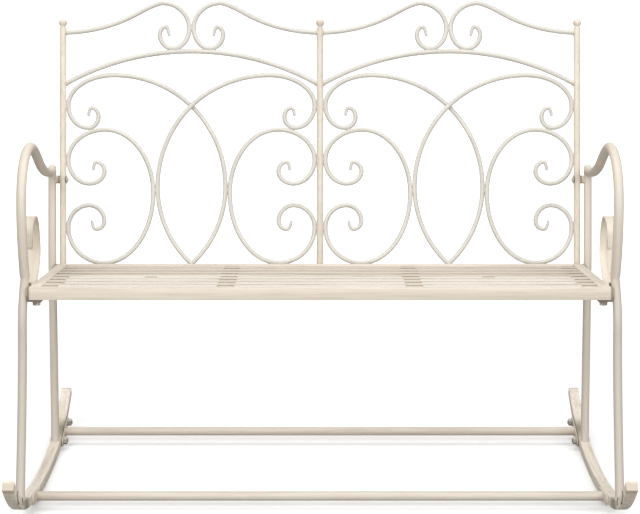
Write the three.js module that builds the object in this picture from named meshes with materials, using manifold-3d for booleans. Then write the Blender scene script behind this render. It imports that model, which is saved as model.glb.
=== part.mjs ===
// Rocking bench of painted iron: two rocker side frames, a slatted seat, a scrollwork back
// in two arched bays, and two cross bars bolted between the rockers.
// Millimetres. X runs across the bench, the sitter faces -Y, Z is up, and the rockers'
// flat bottoms rest on Z = 0 with the origin at the bottom centre of the whole bench.
import * as THREE from 'three';
import { mergeVertices } from 'three/addons/utils/BufferGeometryUtils.js';
import Module from 'manifold-3d';

const wasm = await Module();
wasm.setup();

// Shared fits
const clearance = 0.3;
const cutOverrun = 40;

// Rockers: flat bar on edge, rolled to a long middle radius with tighter ends
const benchDepth = 833;
const sideFrameSpacing = 1050;
const rockerWidth = 20;
const rockerThickness = 18;
const rockerRadius = 1600;
const frontTipRadius = 340;
const rearTipRadius = 600;
const frontBlendReach = 230;
const rearBlendReach = 220;
const rockerLowY = -20;
const restFlatLength = 40;
const restTiltDegrees = 3.3;
const rockerEdgeRadius = 1.5;

// Legs and arms: round bar
const legDiameter = 16;
const armDiameter = 18;
const frontFootY = -278;
const junctionY = -165;
const junctionZ = 415;
const legKneeRise = 295;
const legKneeReach = 67;
const legTopReach = 10;
const frontFootHeading = 73;
const kneeHeading = 88;
const junctionHeading = 44;
const rearLegBendLength = 70;
const legTopAboveBolt = 22;
const armTopZ = 641;
const armFrontY = -195;
const armEndDrop = 5.1;
const armFootHeading = 295;

// Side scrolls: flat strip from the front leg up and over under the arm
const sideScrollReach = 129;
const sideScrollRise = 100;
const sideStripWidth = 23;
const sideStripThickness = 4;

// Seat: a mitred frame of box rail, thin slats on a ledge and on two cross supports
const seatFrontY = -208;
const seatFrontZ = 404.7;
const seatSlopeDegrees = 1.9;
const seatDepth = 412;
const seatRailWidth = 20;
const seatRailHeight = 23;
const slatCount = 7;
const slatWidth = 20;
const slatThickness = 1.5;
const ledgeWidth = 24.5;
const ledgeThickness = 3;
const supportX = 170;
const supportWidth = 29;
const supportHeight = 10;
const supportWall = 2.5;

// Tabs that carry the seat on the legs
const tabThickness = 4;
const tabFootReach = 21;
const tabWeldDepth = 2.5;
const tabTopDrop = 1.5;
const frontTabSetback = 8;
const frontTabLength = 30;
const rearTabLength = 62;
const tabBoltSetback = 16;
const rearLegLag = 0.5;

// Back: three posts, two arched bays of scrolls, one bottom rail
const backLeanDegrees = 7.5;
const backGap = 12.5;
const backLift = 0.66;
const archPeakHeight = 414.5;
const archPeakShare = 0.8143;
const postTopDrop = 39;
const postDiameter = 13.5;
const finialDiameter = 16;
const finialNeckDiameter = 9.5;
const finialNeckHeight = 3;
const neckTaperShare = 0.4;
const backSpacerLength = 6;
const backSpacerFlats = 14;
const backBoltDepth = 8;
const backBoltShare = 0.3202;
const bottomRailHeight = 9;
const bottomRailDepth = 12;
const archDiameter = 9.6;
const archRise = 66.5;
const topScrollDiameter = 9.4;
const crossingBarDiameter = 9;
const crossingReach = 75;
const crossingFlat = 26;
const ringScrollDiameter = 9;
const curlTipDiameter = 5.4;
const topScrollTaper = 0.3;
const crossingTaper = 0.14;
const ringTaper = 0.12;
const middleCutShare = 0.2;
const turnWeightShare = 0.6;

// Cross bars and their flange plates
const crossBarDiameter = 17;
const frontCrossBarY = -150;
const rearCrossBarY = 281;
const flangeLength = 106;
const flangeHeight = 17.5;
const flangeThickness = 3;
const flangeBoltSpacing = 79;

// Fasteners
const heavyShank = 8;
const heavyHexFlats = 13;
const heavyHexHeight = 5.5;
const heavyWasherDiameter = 16;
const lightShank = 6;
const lightHeadDiameter = 14;
const lightHeadHeight = 4;
const washerThickness = 1.6;
const domeHeight = 2.6;
const domeCrownShare = 0.45;
const domeShoulderShare = 0.85;
const domeShoulderHeight = 0.6;
const boltTailShare = 0.35;
const boltTailTaper = 0.6;
const shankTipShare = 0.3;
const seatBoltDepth = 16;
const backTieX = 330;
const backTieWidth = 24;
const backTieHeight = 22;
const backTieLap = 3;
const backTieBoltDrop = 19;
const tieShank = 5;
const tieHexFlats = 8;
const tieHexHeight = 4;
const tieHeadDiameter = 8.4;

// Facet counts
const barSides = 8;
const postSides = 14;
const boltSides = 9;
const domeSides = 8;
const domeRings = 6;
const roundEndSteps = 6;
const legDomeShare = 0.985;

// Paths are lists of [across share, height share, heading in degrees]
const topScrollShares = [
  [-0.5, 0.886, 1], [-0.215, 0.957, 29], [-0.1132, 1, 0], [-0.0088, 0.904, -90],
  [-0.0722, 0.825, -180], [-0.123, 0.879, -270], [-0.0985, 0.9087, -360], [-0.0855, 0.871, -440],
];
const crossingBarShares = [
  [0.008, -0.012, 139], [-0.132, 0.292, 90], [0, 0.603, 44], [0.302, 0.722, 0], [0.479, 0.605, -90],
  [0.4031, 0.5195, -180], [0.3617, 0.561, -270], [0.388, 0.5957, -360], [0.4005, 0.564, -450],
];
const ringScrollShares = [
  [-0.3815, 0.3541, 90], [-0.3715, 0.3875, 0], [-0.3384, 0.3526, -90], [-0.3965, 0.3044, -180],
  [-0.479, 0.3954, -270], [-0.3361, 0.512, -360], [-0.149, 0.2671, -450], [-0.3398, -0.001, -540],
  [-0.479, 0.1353, -630], [-0.3976, 0.2208, -720], [-0.3391, 0.1603, -810],
  [-0.3702, 0.1283, -900], [-0.3875, 0.1638, -990],
];
// Shares of the arm's length and of its rise above the front junction
const armShares = [
  [0.548, 0.85, 155], [0.287, 1, 180], [0.0536, 0.832, 226], [0, 0.51, 270],
];
// Shares of the side scroll's reach behind and rise above the front junction
const sideScrollShares = [
  [-0.119, -0.245, 0], [0.604, -0.127, 24], [1, 0.343, 90], [0.62, 1, 180], [0.209, 0.735, 268],
  [0.202, 0.66, 269],
];

const degrees = Math.PI / 180;
const sideX = sideFrameSpacing / 2;
const backFootY = seatFrontY + seatDepth + backGap;
const backFootZ = seatFrontZ - seatDepth * Math.sin(seatSlopeDegrees * degrees) + backLift;
const rearLegY = backFootY + rearLegLag;
const backHeight = archPeakHeight / archPeakShare;
const postHeight = backHeight - postTopDrop;
const legRadius = legDiameter / 2;
const seatHalfWidth = sideX - legRadius - tabThickness - clearance;
const postX = sideX - legRadius - backSpacerLength - clearance - postDiameter / 2;
const bayWidth = postX;
const heavyBore = heavyShank + 2 * clearance;
const lightBore = lightShank + 2 * clearance;
const tieBore = tieShank + 2 * clearance;
const lean = backLeanDegrees * degrees;
const backBoltHeight = backHeight * backBoltShare;
const backBoltY = backFootY + backBoltHeight * Math.sin(lean);
const backBoltZ = backFootZ + backBoltHeight * Math.cos(lean);
const rearLegTopRise = backBoltHeight + legTopAboveBolt;
const armRearZ = backFootZ + rearLegTopRise * Math.cos(lean) - armEndDrop;
const seatBoltX = seatHalfWidth - tabFootReach / 2;
const rearTabSetback = rearLegY - seatFrontY - rearTabLength;

const iron = new THREE.MeshStandardMaterial({ color: 0xe4dac6, roughness: 0.62, metalness: 0.1 });
const slatIron = new THREE.MeshStandardMaterial({ color: 0xded3bd, roughness: 0.6, metalness: 0.1 });
const fastener = new THREE.MeshStandardMaterial({ color: 0x8d8373, roughness: 0.5, metalness: 0.6 });

// Groups: the frame is drawn with its rear legs upright and rests leaning back on its
// rockers, with its weight over their flat; the seat and the back are tilted in the frame
const bench = new THREE.Group();
const frame = new THREE.Group();
frame.rotation.x = -restTiltDegrees * degrees;
const seat = new THREE.Group();
seat.position.set(0, seatFrontY, seatFrontZ);
seat.rotation.x = -seatSlopeDegrees * degrees;
const back = new THREE.Group();
back.position.set(0, backFootY, backFootZ);
back.rotation.x = Math.PI / 2 - backLeanDegrees * degrees;
frame.add(seat, back);
bench.add(frame);
bench.updateMatrixWorld(true);

function add(group, name, geometry, material) {
  const mesh = new THREE.Mesh(geometry, material);
  mesh.name = name;
  group.add(mesh);
}

// A geometry carried from one group's frame into another's
function carried(geometry, from, to) {
  const change = to.matrixWorld.clone().invert().multiply(from.matrixWorld);
  return geometry.clone().applyMatrix4(change);
}

function toSolid(geometry) {
  const bare = geometry.clone();
  bare.deleteAttribute('normal');
  bare.deleteAttribute('uv');
  const merged = mergeVertices(bare, 1e-4);
  return new wasm.Manifold(new wasm.Mesh({
    numProp: 3,
    vertProperties: Float32Array.from(merged.attributes.position.array),
    triVerts: Uint32Array.from(merged.index.array),
  }));
}

function toGeometry(solid) {
  const mesh = solid.getMesh();
  const geometry = new THREE.BufferGeometry();
  geometry.setAttribute('position', new THREE.BufferAttribute(Float32Array.from(mesh.vertProperties), 3));
  geometry.setIndex(new THREE.BufferAttribute(Uint32Array.from(mesh.triVerts), 1));
  return geometry;
}

// Trims a piece by its neighbours and keeps its body, without the offcuts
function trimmed(geometry, ...tools) {
  let solid = toSolid(geometry);
  for (const tool of tools) {
    solid = solid.subtract(toSolid(tool));
  }
  const bodies = solid.decompose();
  bodies.sort((a, b) => b.volume() - a.volume());
  return toGeometry(bodies[0]);
}

function welded(...geometries) {
  let solid = toSolid(geometries[0]);
  for (const geometry of geometries.slice(1)) {
    solid = solid.add(toSolid(geometry));
  }
  return toGeometry(solid);
}

function box(x0, x1, y0, y1, z0, z1) {
  const geometry = new THREE.BoxGeometry(Math.abs(x1 - x0), Math.abs(y1 - y0), Math.abs(z1 - z0));
  return geometry.translate((x0 + x1) / 2, (y0 + y1) / 2, (z0 + z1) / 2);
}

// A line of curve pieces whose stations lie closer together where it turns tighter
class BentLine extends THREE.Curve {
  constructor(pieces, turns) {
    super();
    this.pieces = pieces;
    const lengths = pieces.map((piece) => piece.getLength());
    const allLength = lengths.reduce((sum, length) => sum + length, 0);
    const allTurn = turns.reduce((sum, turn) => sum + turn, 0);
    this.ends = [];
    let end = 0;
    for (let i = 0; i < pieces.length; i += 1) {
      end += turnWeightShare * turns[i] / allTurn + (1 - turnWeightShare) * lengths[i] / allLength;
      this.ends.push(end);
    }
  }

  getPoint(t, target = new THREE.Vector3()) {
    const last = this.pieces.length - 1;
    let i = 0;
    while (i < last && t > this.ends[i]) {
      i += 1;
    }
    const start = i > 0 ? this.ends[i - 1] : 0;
    const local = (t - start) / (this.ends[i] - start);
    return this.pieces[i].getPoint(Math.min(1, Math.max(0, local)), target);
  }

  getUtoTmapping(u) {
    return u;
  }
}

// A smooth line through waypoints [x, y, heading], each stretch an arc-like cubic whose
// handles point at the meeting point of the two headings
function arcChain(waypoints, place) {
  const pieces = [];
  const turns = [];
  for (let i = 0; i + 1 < waypoints.length; i += 1) {
    const [x0, y0, heading0] = waypoints[i];
    const [x1, y1, heading1] = waypoints[i + 1];
    const from = new THREE.Vector2(x0, y0);
    const to = new THREE.Vector2(x1, y1);
    const out = new THREE.Vector2(Math.cos(heading0 * degrees), Math.sin(heading0 * degrees));
    const into = new THREE.Vector2(Math.cos(heading1 * degrees), Math.sin(heading1 * degrees));
    const turn = Math.abs(heading1 - heading0) * degrees;
    const chord = to.clone().sub(from);
    let reachOut = chord.length() / 3;
    let reachIn = reachOut;
    const spread = out.cross(into);
    if (Math.abs(spread) > 1e-6) {
      const share = (4 / 3) * Math.tan(turn / 4) / Math.tan(turn / 2);
      reachOut = share * chord.cross(into) / spread;
      reachIn = share * out.cross(chord) / spread;
    }
    const handleOut = from.clone().addScaledVector(out, reachOut);
    const handleIn = to.clone().addScaledVector(into, -reachIn);
    const corners = [from, handleOut, handleIn, to].map(place);
    pieces.push(new THREE.CubicBezierCurve3(...corners));
    turns.push(turn);
  }
  return new BentLine(pieces, turns);
}

// Waypoint shares turned into real sizes
function sized(shares, width, height, x0 = 0, y0 = 0) {
  return shares.map(([across, up, heading]) => [x0 + across * width, y0 + up * height, heading]);
}

function mirrored(waypoints) {
  return waypoints.map(([x, y, heading]) => [-x, y, 180 - heading]);
}

function shifted(waypoints, across) {
  return waypoints.map(([x, y, heading]) => [x + across, y, heading]);
}

// A faceted round section with the area of the true circle
function roundSection(radius, sides = barSides) {
  const corner = radius * Math.sqrt(2 * Math.PI / (sides * Math.sin(2 * Math.PI / sides)));
  const points = [];
  for (let i = 0; i < sides; i += 1) {
    const angle = (i + 0.5) * 2 * Math.PI / sides;
    points.push(new THREE.Vector2(corner * Math.cos(angle), corner * Math.sin(angle)));
  }
  return new THREE.Shape(points);
}

// A bent bar. taper(share of length) gives its girth there as a share of the full section
function bentBar(path, diameter, steps, taper = null) {
  const geometry = new THREE.ExtrudeGeometry(roundSection(diameter / 2), {
    steps,
    extrudePath: path,
    bevelEnabled: false,
  });
  if (taper) {
    const stations = path.getSpacedPoints(steps);
    const position = geometry.attributes.position;
    const vertex = new THREE.Vector3();
    for (let i = 0; i < position.count; i += 1) {
      vertex.fromBufferAttribute(position, i);
      let nearest = 0;
      for (let k = 1; k <= steps; k += 1) {
        if (vertex.distanceToSquared(stations[k]) < vertex.distanceToSquared(stations[nearest])) {
          nearest = k;
        }
      }
      vertex.sub(stations[nearest]).multiplyScalar(taper(nearest / steps)).add(stations[nearest]);
      position.setXYZ(i, vertex.x, vertex.y, vertex.z);
    }
  }
  return geometry;
}

// Girth that drops from full to tipShare over the last stretch of a bar
function tipTaper(tipShare, stretch) {
  return (along) => {
    const reach = Math.min(1, Math.max(0, (along - 1 + stretch) / stretch));
    return 1 - (1 - tipShare) * reach * reach;
  };
}

function bothTipsTaper(tipShare, stretch) {
  const oneTip = tipTaper(tipShare, stretch);
  return (along) => oneTip(Math.max(along, 1 - along));
}

// Round pin between two points on a line along X
function pinAlongX(x0, x1, y, z, diameter, sides = boltSides) {
  const geometry = new THREE.CylinderGeometry(diameter / 2, diameter / 2, Math.abs(x1 - x0), sides);
  return geometry.rotateZ(Math.PI / 2).translate((x0 + x1) / 2, y, z);
}

// Turned profile of a bolt: [along, radius] pairs from the head's crown to the shank's end
function turned(profile, sides = boltSides) {
  const points = profile.map(([along, radius]) => new THREE.Vector2(radius, along));
  return new THREE.LatheGeometry(points, sides);
}

function hexagon(flats, from, to) {
  const corner = flats / 2 / Math.cos(30 * degrees);
  const geometry = new THREE.CylinderGeometry(corner, corner, Math.abs(to - from), 6);
  return geometry.translate(0, (from + to) / 2, 0);
}

// A round head's profile, from its crown to the rim of its bearing face
function domeProfile(radius, height) {
  return [
    [-height, 0], [-height, radius * domeCrownShare],
    [-height * domeShoulderHeight, radius * domeShoulderShare], [0, radius],
  ];
}

// A bolt along +Y whose dome head bears at 0 and whose nut and washer bear at grip
function domeBolt(shank, washerDiameter, hexFlats, hexHeight, grip) {
  const crown = washerDiameter / 2;
  const end = grip + washerThickness + hexHeight;
  const tail = hexHeight * boltTailShare;
  const body = turned([
    ...domeProfile(crown, domeHeight), [0, shank / 2], [grip, shank / 2], [grip, crown],
    [grip + washerThickness, crown], [grip + washerThickness, shank / 2],
    [end + tail * boltTailTaper, shank / 2], [end + tail, shank * shankTipShare], [end + tail, 0],
  ]);
  return welded(body, hexagon(hexFlats, grip + washerThickness, end));
}

// A round-headed bolt along +Y with its bearing face at 0 and its end flush in a thread
function flushBolt(shank, headDiameter, headHeight, reach) {
  return turned([
    ...domeProfile(headDiameter / 2, headHeight), [0, shank / 2], [reach, shank / 2], [reach, 0],
  ]);
}

// A bolt along +Y whose washer bears at 0 under its hexagon head, and which ends at reach
function hexBolt(shank, washerDiameter, hexFlats, hexHeight, reach) {
  const crown = washerDiameter / 2;
  const radius = shank / 2;
  const core = -washerThickness - hexHeight / 2;
  const body = turned([
    [core, 0], [core, radius], [-washerThickness, radius], [-washerThickness, crown], [0, crown],
    [0, radius], [reach - radius, radius], [reach, shank * shankTipShare], [reach, 0],
  ]);
  return welded(body, hexagon(hexFlats, -washerThickness - hexHeight, -washerThickness));
}

// Rocker underside: the point and slope at an angle, and the angle at a place
const frontBlendAngle = Math.asin(frontBlendReach / rockerRadius);
const rearBlendAngle = Math.asin(rearBlendReach / rockerRadius);
const frontTipAngle = Math.asin(frontBlendReach / rockerRadius
  + (benchDepth / 2 + rockerLowY - frontBlendReach) / frontTipRadius);
const rearTipAngle = Math.asin(rearBlendReach / rockerRadius
  + (benchDepth / 2 - rockerLowY - rearBlendReach) / rearTipRadius);

// angle is negative in front of the low point and positive behind it; lift is square to the bar
function rockerPoint(angle, lift) {
  const side = Math.sign(angle);
  const turn = Math.abs(angle);
  const blend = side < 0 ? frontBlendAngle : rearBlendAngle;
  const tipRadius = side < 0 ? frontTipRadius : rearTipRadius;
  const middle = Math.min(turn, blend);
  let reach = rockerRadius * Math.sin(middle);
  let rise = rockerRadius * (1 - Math.cos(middle));
  if (turn > blend) {
    reach += tipRadius * (Math.sin(turn) - Math.sin(blend));
    rise += tipRadius * (Math.cos(blend) - Math.cos(turn));
  }
  return [rockerLowY + side * (reach - lift * Math.sin(turn)), rise + lift * Math.cos(turn)];
}

function rockerAngleAt(y) {
  const side = Math.sign(y - rockerLowY);
  const reach = Math.abs(y - rockerLowY);
  const blendReach = side < 0 ? frontBlendReach : rearBlendReach;
  const blend = side < 0 ? frontBlendAngle : rearBlendAngle;
  const tipRadius = side < 0 ? frontTipRadius : rearTipRadius;
  if (reach <= blendReach) {
    return side * Math.asin(reach / rockerRadius);
  }
  return side * Math.asin(Math.sin(blend) + (reach - blendReach) / tipRadius);
}

// Stations along the rocker. The two at the resting place span the flat that it stands on
function rockerAngles(edge) {
  const rest = restTiltDegrees * degrees;
  const halfFlat = Math.asin(restFlatLength / 2 / rockerRadius);
  const runs = [
    [-frontTipAngle + edge / frontTipRadius, -frontBlendAngle, 6],
    [-frontBlendAngle, rest - halfFlat, 4],
    [rest + halfFlat, rearBlendAngle, 2],
    [rearBlendAngle, rearTipAngle - edge / rearTipRadius, 6],
  ];
  const angles = [];
  for (const [from, to, steps] of runs) {
    for (let i = 0; i <= steps; i += 1) {
      const angle = from + (to - from) * i / steps;
      if (angles.length === 0 || angle > angles[angles.length - 1]) {
        angles.push(angle);
      }
    }
  }
  return angles;
}

// The frame goes down and back until the flat is on the floor and the tips are centred
function setFrameAtRest() {
  const rest = restTiltDegrees * degrees;
  const turned = ([y, z]) => [y * Math.cos(rest) + z * Math.sin(rest),
    z * Math.cos(rest) - y * Math.sin(rest)];
  const halfFlat = Math.asin(restFlatLength / 2 / rockerRadius);
  const [, floor] = turned(rockerPoint(rest + halfFlat, 0));
  const [frontTip] = turned(rockerPoint(-frontTipAngle, 0));
  const [rearTip] = turned(rockerPoint(rearTipAngle, 0));
  frame.position.set(0, -(frontTip + rearTip) / 2, -floor);
  bench.updateMatrixWorld(true);
}

// Side-plane shapes are drawn with x as Y and y as Z, extruded, and stood up at X
function standAtX(geometry, x) {
  const stand = new THREE.Matrix4().makeBasis(
    new THREE.Vector3(0, 1, 0),
    new THREE.Vector3(0, 0, 1),
    new THREE.Vector3(1, 0, 0),
  );
  return geometry.applyMatrix4(stand).translate(x, 0, 0);
}

function rockerBar(x, grow, edge) {
  const angles = rockerAngles(edge);
  const lower = angles.map((angle) => new THREE.Vector2(...rockerPoint(angle, edge - grow)));
  const upper = angles.map((angle) => {
    return new THREE.Vector2(...rockerPoint(angle, rockerThickness - edge + grow));
  });
  const outline = new THREE.Shape([...lower, ...upper.reverse()]);
  const width = rockerWidth + 2 * grow;
  const geometry = new THREE.ExtrudeGeometry(outline, {
    depth: width - 2 * edge,
    bevelEnabled: edge > 0,
    bevelThickness: edge,
    bevelSize: edge,
    bevelSegments: 1,
  });
  return standAtX(geometry, x - width / 2 + edge);
}

// Where the flange bolts of a cross bar pass, as [y, z] points
function flangeBoltPoints(barY) {
  const angle = rockerAngleAt(barY);
  const [y, z] = rockerPoint(angle, rockerThickness / 2);
  return [-1, 1].map((end) => {
    const along = end * flangeBoltSpacing / 2;
    return [y + along * Math.cos(angle), z + along * Math.sin(angle)];
  });
}

function makeRocker(x) {
  const bores = [];
  for (const barY of [frontCrossBarY, rearCrossBarY]) {
    for (const [y, z] of flangeBoltPoints(barY)) {
      bores.push(pinAlongX(x - rockerWidth, x + rockerWidth, y, z, heavyBore));
    }
  }
  return trimmed(rockerBar(x, 0, rockerEdgeRadius), ...bores);
}

// The side plane's place function for arcChain
function atSide(x) {
  return (point) => new THREE.Vector3(x, point.x, point.y);
}

// The front leg ends just behind the arm's foot
function frontLegPath(x) {
  const [footY, footZ] = rockerPoint(rockerAngleAt(frontFootY), rockerThickness / 2);
  const topY = junctionY + legTopReach * Math.cos(junctionHeading * degrees);
  const topZ = junctionZ + legTopReach * Math.sin(junctionHeading * degrees);
  const waypoints = [
    [footY, footZ, frontFootHeading],
    [footY + legKneeReach, footZ + legKneeRise, kneeHeading],
    [junctionY, junctionZ, junctionHeading],
    [topY, topZ, junctionHeading],
  ];
  return arcChain(waypoints, atSide(x));
}

const frontLegSteps = 16;

function frontLegBar(x, grow) {
  return bentBar(frontLegPath(x), legDiameter + 2 * grow, frontLegSteps);
}

// The side scroll: a strip bent on its flat, its width across X
const sideScrollSteps = 30;

function makeSideScroll(side) {
  const x = side * sideX;
  const waypoints = sized(sideScrollShares, sideScrollReach, sideScrollRise, junctionY, junctionZ);
  const halfWidth = sideStripWidth / 2;
  const halfThickness = sideStripThickness / 2;
  const section = new THREE.Shape([
    new THREE.Vector2(-halfWidth, -halfThickness),
    new THREE.Vector2(halfWidth, -halfThickness),
    new THREE.Vector2(halfWidth, halfThickness),
    new THREE.Vector2(-halfWidth, halfThickness),
  ]);
  const strip = new THREE.ExtrudeGeometry(section, {
    steps: sideScrollSteps,
    extrudePath: arcChain(waypoints, atSide(x)),
    bevelEnabled: false,
  });
  const tabOuter = side * (sideX - legRadius + tabWeldDepth + clearance);
  const tabRoom = box(side * seatHalfWidth, tabOuter, frontTabSetback - clearance,
    frontTabSetback + frontTabLength + clearance, -seatRailHeight - cutOverrun, -tabTopDrop + clearance);
  return trimmed(strip, frontLegBar(x, clearance), carried(tabRoom, seat, frame));
}

// Rear leg: upright to the seat, then leaning in the plane of the back
function rearLegPath(x, rise) {
  const [, footZ] = rockerPoint(rockerAngleAt(rearLegY), rockerThickness / 2);
  const bendZ = backFootZ + (rearLegY - backFootY) / Math.tan(lean);
  const half = rearLegBendLength / 2;
  const upright = 90 - backLeanDegrees;
  const waypoints = [
    [rearLegY, footZ, 90],
    [rearLegY, bendZ - half, 90],
    [rearLegY + half * Math.sin(lean), bendZ + half * Math.cos(lean), upright],
    [backFootY + rise * Math.sin(lean), backFootZ + rise * Math.cos(lean), upright],
  ];
  return arcChain(waypoints, atSide(x));
}

const rearLegSteps = 10;

// Grown, the bar is also longer, to cope what meets the leg near its top
function rearLegBar(x, grow) {
  const rise = rearLegTopRise + (grow > 0 ? legRadius : 0);
  return bentBar(rearLegPath(x, rise), legDiameter + 2 * grow, rearLegSteps);
}

// The arm's ends lap half way into the legs' skin and are then coped to fit them
function armPath(x) {
  const lap = legRadius / 2;
  const rearY = backFootY + (armRearZ - backFootZ) * Math.tan(lean) - lap;
  const waypoints = [
    [rearY, armRearZ, 180],
    ...sized(armShares, rearY - armFrontY, armTopZ - junctionZ, armFrontY, junctionZ),
    [junctionY - lap * Math.cos(armFootHeading * degrees),
      junctionZ - lap * Math.sin(armFootHeading * degrees), armFootHeading],
  ];
  return arcChain(waypoints, atSide(x));
}

const armSteps = 26;

// A seat tab in the seat's frame: an upright flat against the leg and a foot under the rail
function seatTab(side, setback, length) {
  const inner = side * (seatHalfWidth + clearance);
  const outer = side * (sideX - legRadius + tabWeldDepth);
  const footTop = -seatRailHeight - clearance;
  const footBottom = footTop - tabThickness;
  const upright = box(inner, outer, setback, setback + length, footBottom, -tabTopDrop);
  const footInner = side * (seatHalfWidth - tabFootReach);
  const foot = box(footInner, outer, setback, setback + length, footBottom, footTop);
  const bore = uprightBore(side * seatBoltX, setback + tabBoltSetback, footBottom, footTop, heavyBore);
  return trimmed(welded(upright, foot), bore);
}

function uprightBore(x, y, z0, z1, diameter) {
  const length = Math.abs(z1 - z0) + 2 * clearance;
  const geometry = new THREE.CylinderGeometry(diameter / 2, diameter / 2, length, boltSides);
  return geometry.rotateX(Math.PI / 2).translate(x, y, (z0 + z1) / 2);
}

function makeFrontLeg(side) {
  const x = side * sideX;
  const leg = trimmed(frontLegBar(x, 0), rockerBar(x, clearance, 0));
  const tab = carried(seatTab(side, frontTabSetback, frontTabLength), seat, frame);
  return welded(leg, tab);
}

function makeRearLeg(side) {
  const x = side * sideX;
  const leg = trimmed(rearLegBar(x, 0), rockerBar(x, clearance, 0));
  const spacerEnd = sideX - legRadius - backSpacerLength;
  const spacer = hexagon(backSpacerFlats, spacerEnd, sideX - legRadius / 2).rotateZ(-side * Math.PI / 2)
    .translate(0, backBoltY, backBoltZ);
  const tab = carried(seatTab(side, rearTabSetback, rearTabLength), seat, frame);
  const dome = new THREE.SphereGeometry(legRadius * legDomeShare, domeSides, domeRings);
  const top = rearLegPath(x, rearLegTopRise).getPoint(1);
  dome.rotateX(Math.PI / 2 - lean).translate(top.x, top.y, top.z);
  const whole = welded(leg, spacer, tab, dome);
  const bore = pinAlongX(side * (spacerEnd - cutOverrun), side * (sideX - legRadius + backBoltDepth),
    backBoltY, backBoltZ, lightBore);
  return trimmed(whole, bore);
}

function makeArm(side) {
  const x = side * sideX;
  const bar = bentBar(armPath(x), armDiameter, armSteps);
  return trimmed(bar, frontLegBar(x, clearance), rearLegBar(x, clearance));
}

// Cross bar with a flange plate at each end, in line with the rockers
function makeCrossBar(barY) {
  const angle = rockerAngleAt(barY);
  const [y, z] = rockerPoint(angle, rockerThickness / 2);
  const plateOuter = sideX - rockerWidth / 2 - clearance;
  const half = flangeLength / 2 - flangeHeight / 2;
  const outline = new THREE.Shape();
  outline.absarc(half, 0, flangeHeight / 2, -Math.PI / 2, Math.PI / 2);
  outline.absarc(-half, 0, flangeHeight / 2, Math.PI / 2, Math.PI * 1.5);
  const bar = pinAlongX(-plateOuter + flangeThickness / 2, plateOuter - flangeThickness / 2, y, z,
    crossBarDiameter, postSides);
  const plates = [];
  const bores = [];
  for (const side of [-1, 1]) {
    const plate = new THREE.ExtrudeGeometry(outline, {
      depth: flangeThickness,
      bevelEnabled: false,
      curveSegments: roundEndSteps,
    });
    plate.rotateZ(angle);
    const from = side < 0 ? -plateOuter : plateOuter - flangeThickness;
    plates.push(standAtX(plate, from).translate(0, y, z));
    for (const [boltY, boltZ] of flangeBoltPoints(barY)) {
      const through = side * (plateOuter + cutOverrun);
      bores.push(pinAlongX(side * (plateOuter - cutOverrun), through, boltY, boltZ, heavyBore));
    }
  }
  return trimmed(welded(bar, ...plates), ...bores);
}

// Bolt along X, its dome head on the outer face at outerX, clamping towards the middle
function boltAlongX(side, outerX, y, z, bolt) {
  return bolt.clone().rotateZ(side * Math.PI / 2).translate(side * (outerX + clearance), y, z);
}

// Seat frame rails in plan: long outer edge, mitred ends
function mitredRail(length, flip) {
  const inset = seatRailWidth;
  const plan = new THREE.Shape([
    new THREE.Vector2(-length / 2, 0),
    new THREE.Vector2(length / 2, 0),
    new THREE.Vector2(length / 2 - inset, inset),
    new THREE.Vector2(-length / 2 + inset, inset),
  ]);
  const geometry = new THREE.ExtrudeGeometry(plan, { depth: seatRailHeight, bevelEnabled: false });
  return geometry.translate(0, 0, -seatRailHeight).rotateZ(flip);
}

function makeSideRail(side) {
  const rail = mitredRail(seatDepth - 2 * clearance, side * Math.PI / 2);
  rail.translate(side * seatHalfWidth, seatDepth / 2, 0);
  const ledgeTop = -slatThickness - clearance;
  const wall = side * (seatHalfWidth - seatRailWidth);
  const ledgeY = seatRailWidth + clearance;
  const ledge = box(wall + side * ledgeThickness, wall - side * ledgeWidth, ledgeY, seatDepth - ledgeY,
    ledgeTop - ledgeThickness, ledgeTop);
  const bores = [frontTabSetback, rearTabSetback].map((setback) => {
    return uprightBore(side * seatBoltX, setback + tabBoltSetback, -seatRailHeight - cutOverrun,
      -seatRailHeight + seatBoltDepth, heavyBore);
  });
  return trimmed(welded(rail, ledge), ...bores);
}

function makeSupport(x) {
  const top = -slatThickness - clearance;
  const half = supportWidth / 2;
  const profile = new THREE.Shape([
    new THREE.Vector2(x - half, top - supportHeight),
    new THREE.Vector2(x - half + supportWall, top - supportHeight),
    new THREE.Vector2(x - half + supportWall, top - supportWall),
    new THREE.Vector2(x + half - supportWall, top - supportWall),
    new THREE.Vector2(x + half - supportWall, top - supportHeight),
    new THREE.Vector2(x + half, top - supportHeight),
    new THREE.Vector2(x + half, top),
    new THREE.Vector2(x - half, top),
  ]);
  const from = seatRailWidth + clearance;
  const length = seatDepth - 2 * from;
  const geometry = new THREE.ExtrudeGeometry(profile, { depth: length, bevelEnabled: false });
  return geometry.rotateX(Math.PI / 2).translate(0, from + length, 0);
}

// Back pieces, drawn flat: x across, y up the back, z towards the sitter
const railTop = -ringScrollDiameter / 2 - clearance;
const railBottom = railTop - bottomRailHeight;

function atBack(point) {
  return new THREE.Vector3(point.x, point.y, 0);
}

function makePost(x, bottom) {
  const radius = postDiameter / 2;
  const neck = finialNeckDiameter / 2;
  const ball = finialDiameter / 2;
  const neckTop = postHeight - Math.sqrt(ball * ball - neck * neck);
  const profile = [
    new THREE.Vector2(0, bottom),
    new THREE.Vector2(radius, bottom),
    new THREE.Vector2(radius, neckTop - finialNeckHeight),
    new THREE.Vector2(neck, neckTop - finialNeckHeight * neckTaperShare),
  ];
  const start = Math.asin(neck / ball);
  for (let i = 0; i < domeRings; i += 1) {
    const angle = start + (Math.PI - start) * i / domeRings;
    profile.push(new THREE.Vector2(ball * Math.sin(angle), postHeight - ball * Math.cos(angle)));
  }
  profile.push(new THREE.Vector2(0, postHeight + ball));
  return new THREE.LatheGeometry(profile, postSides).translate(x, 0, 0);
}

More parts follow.
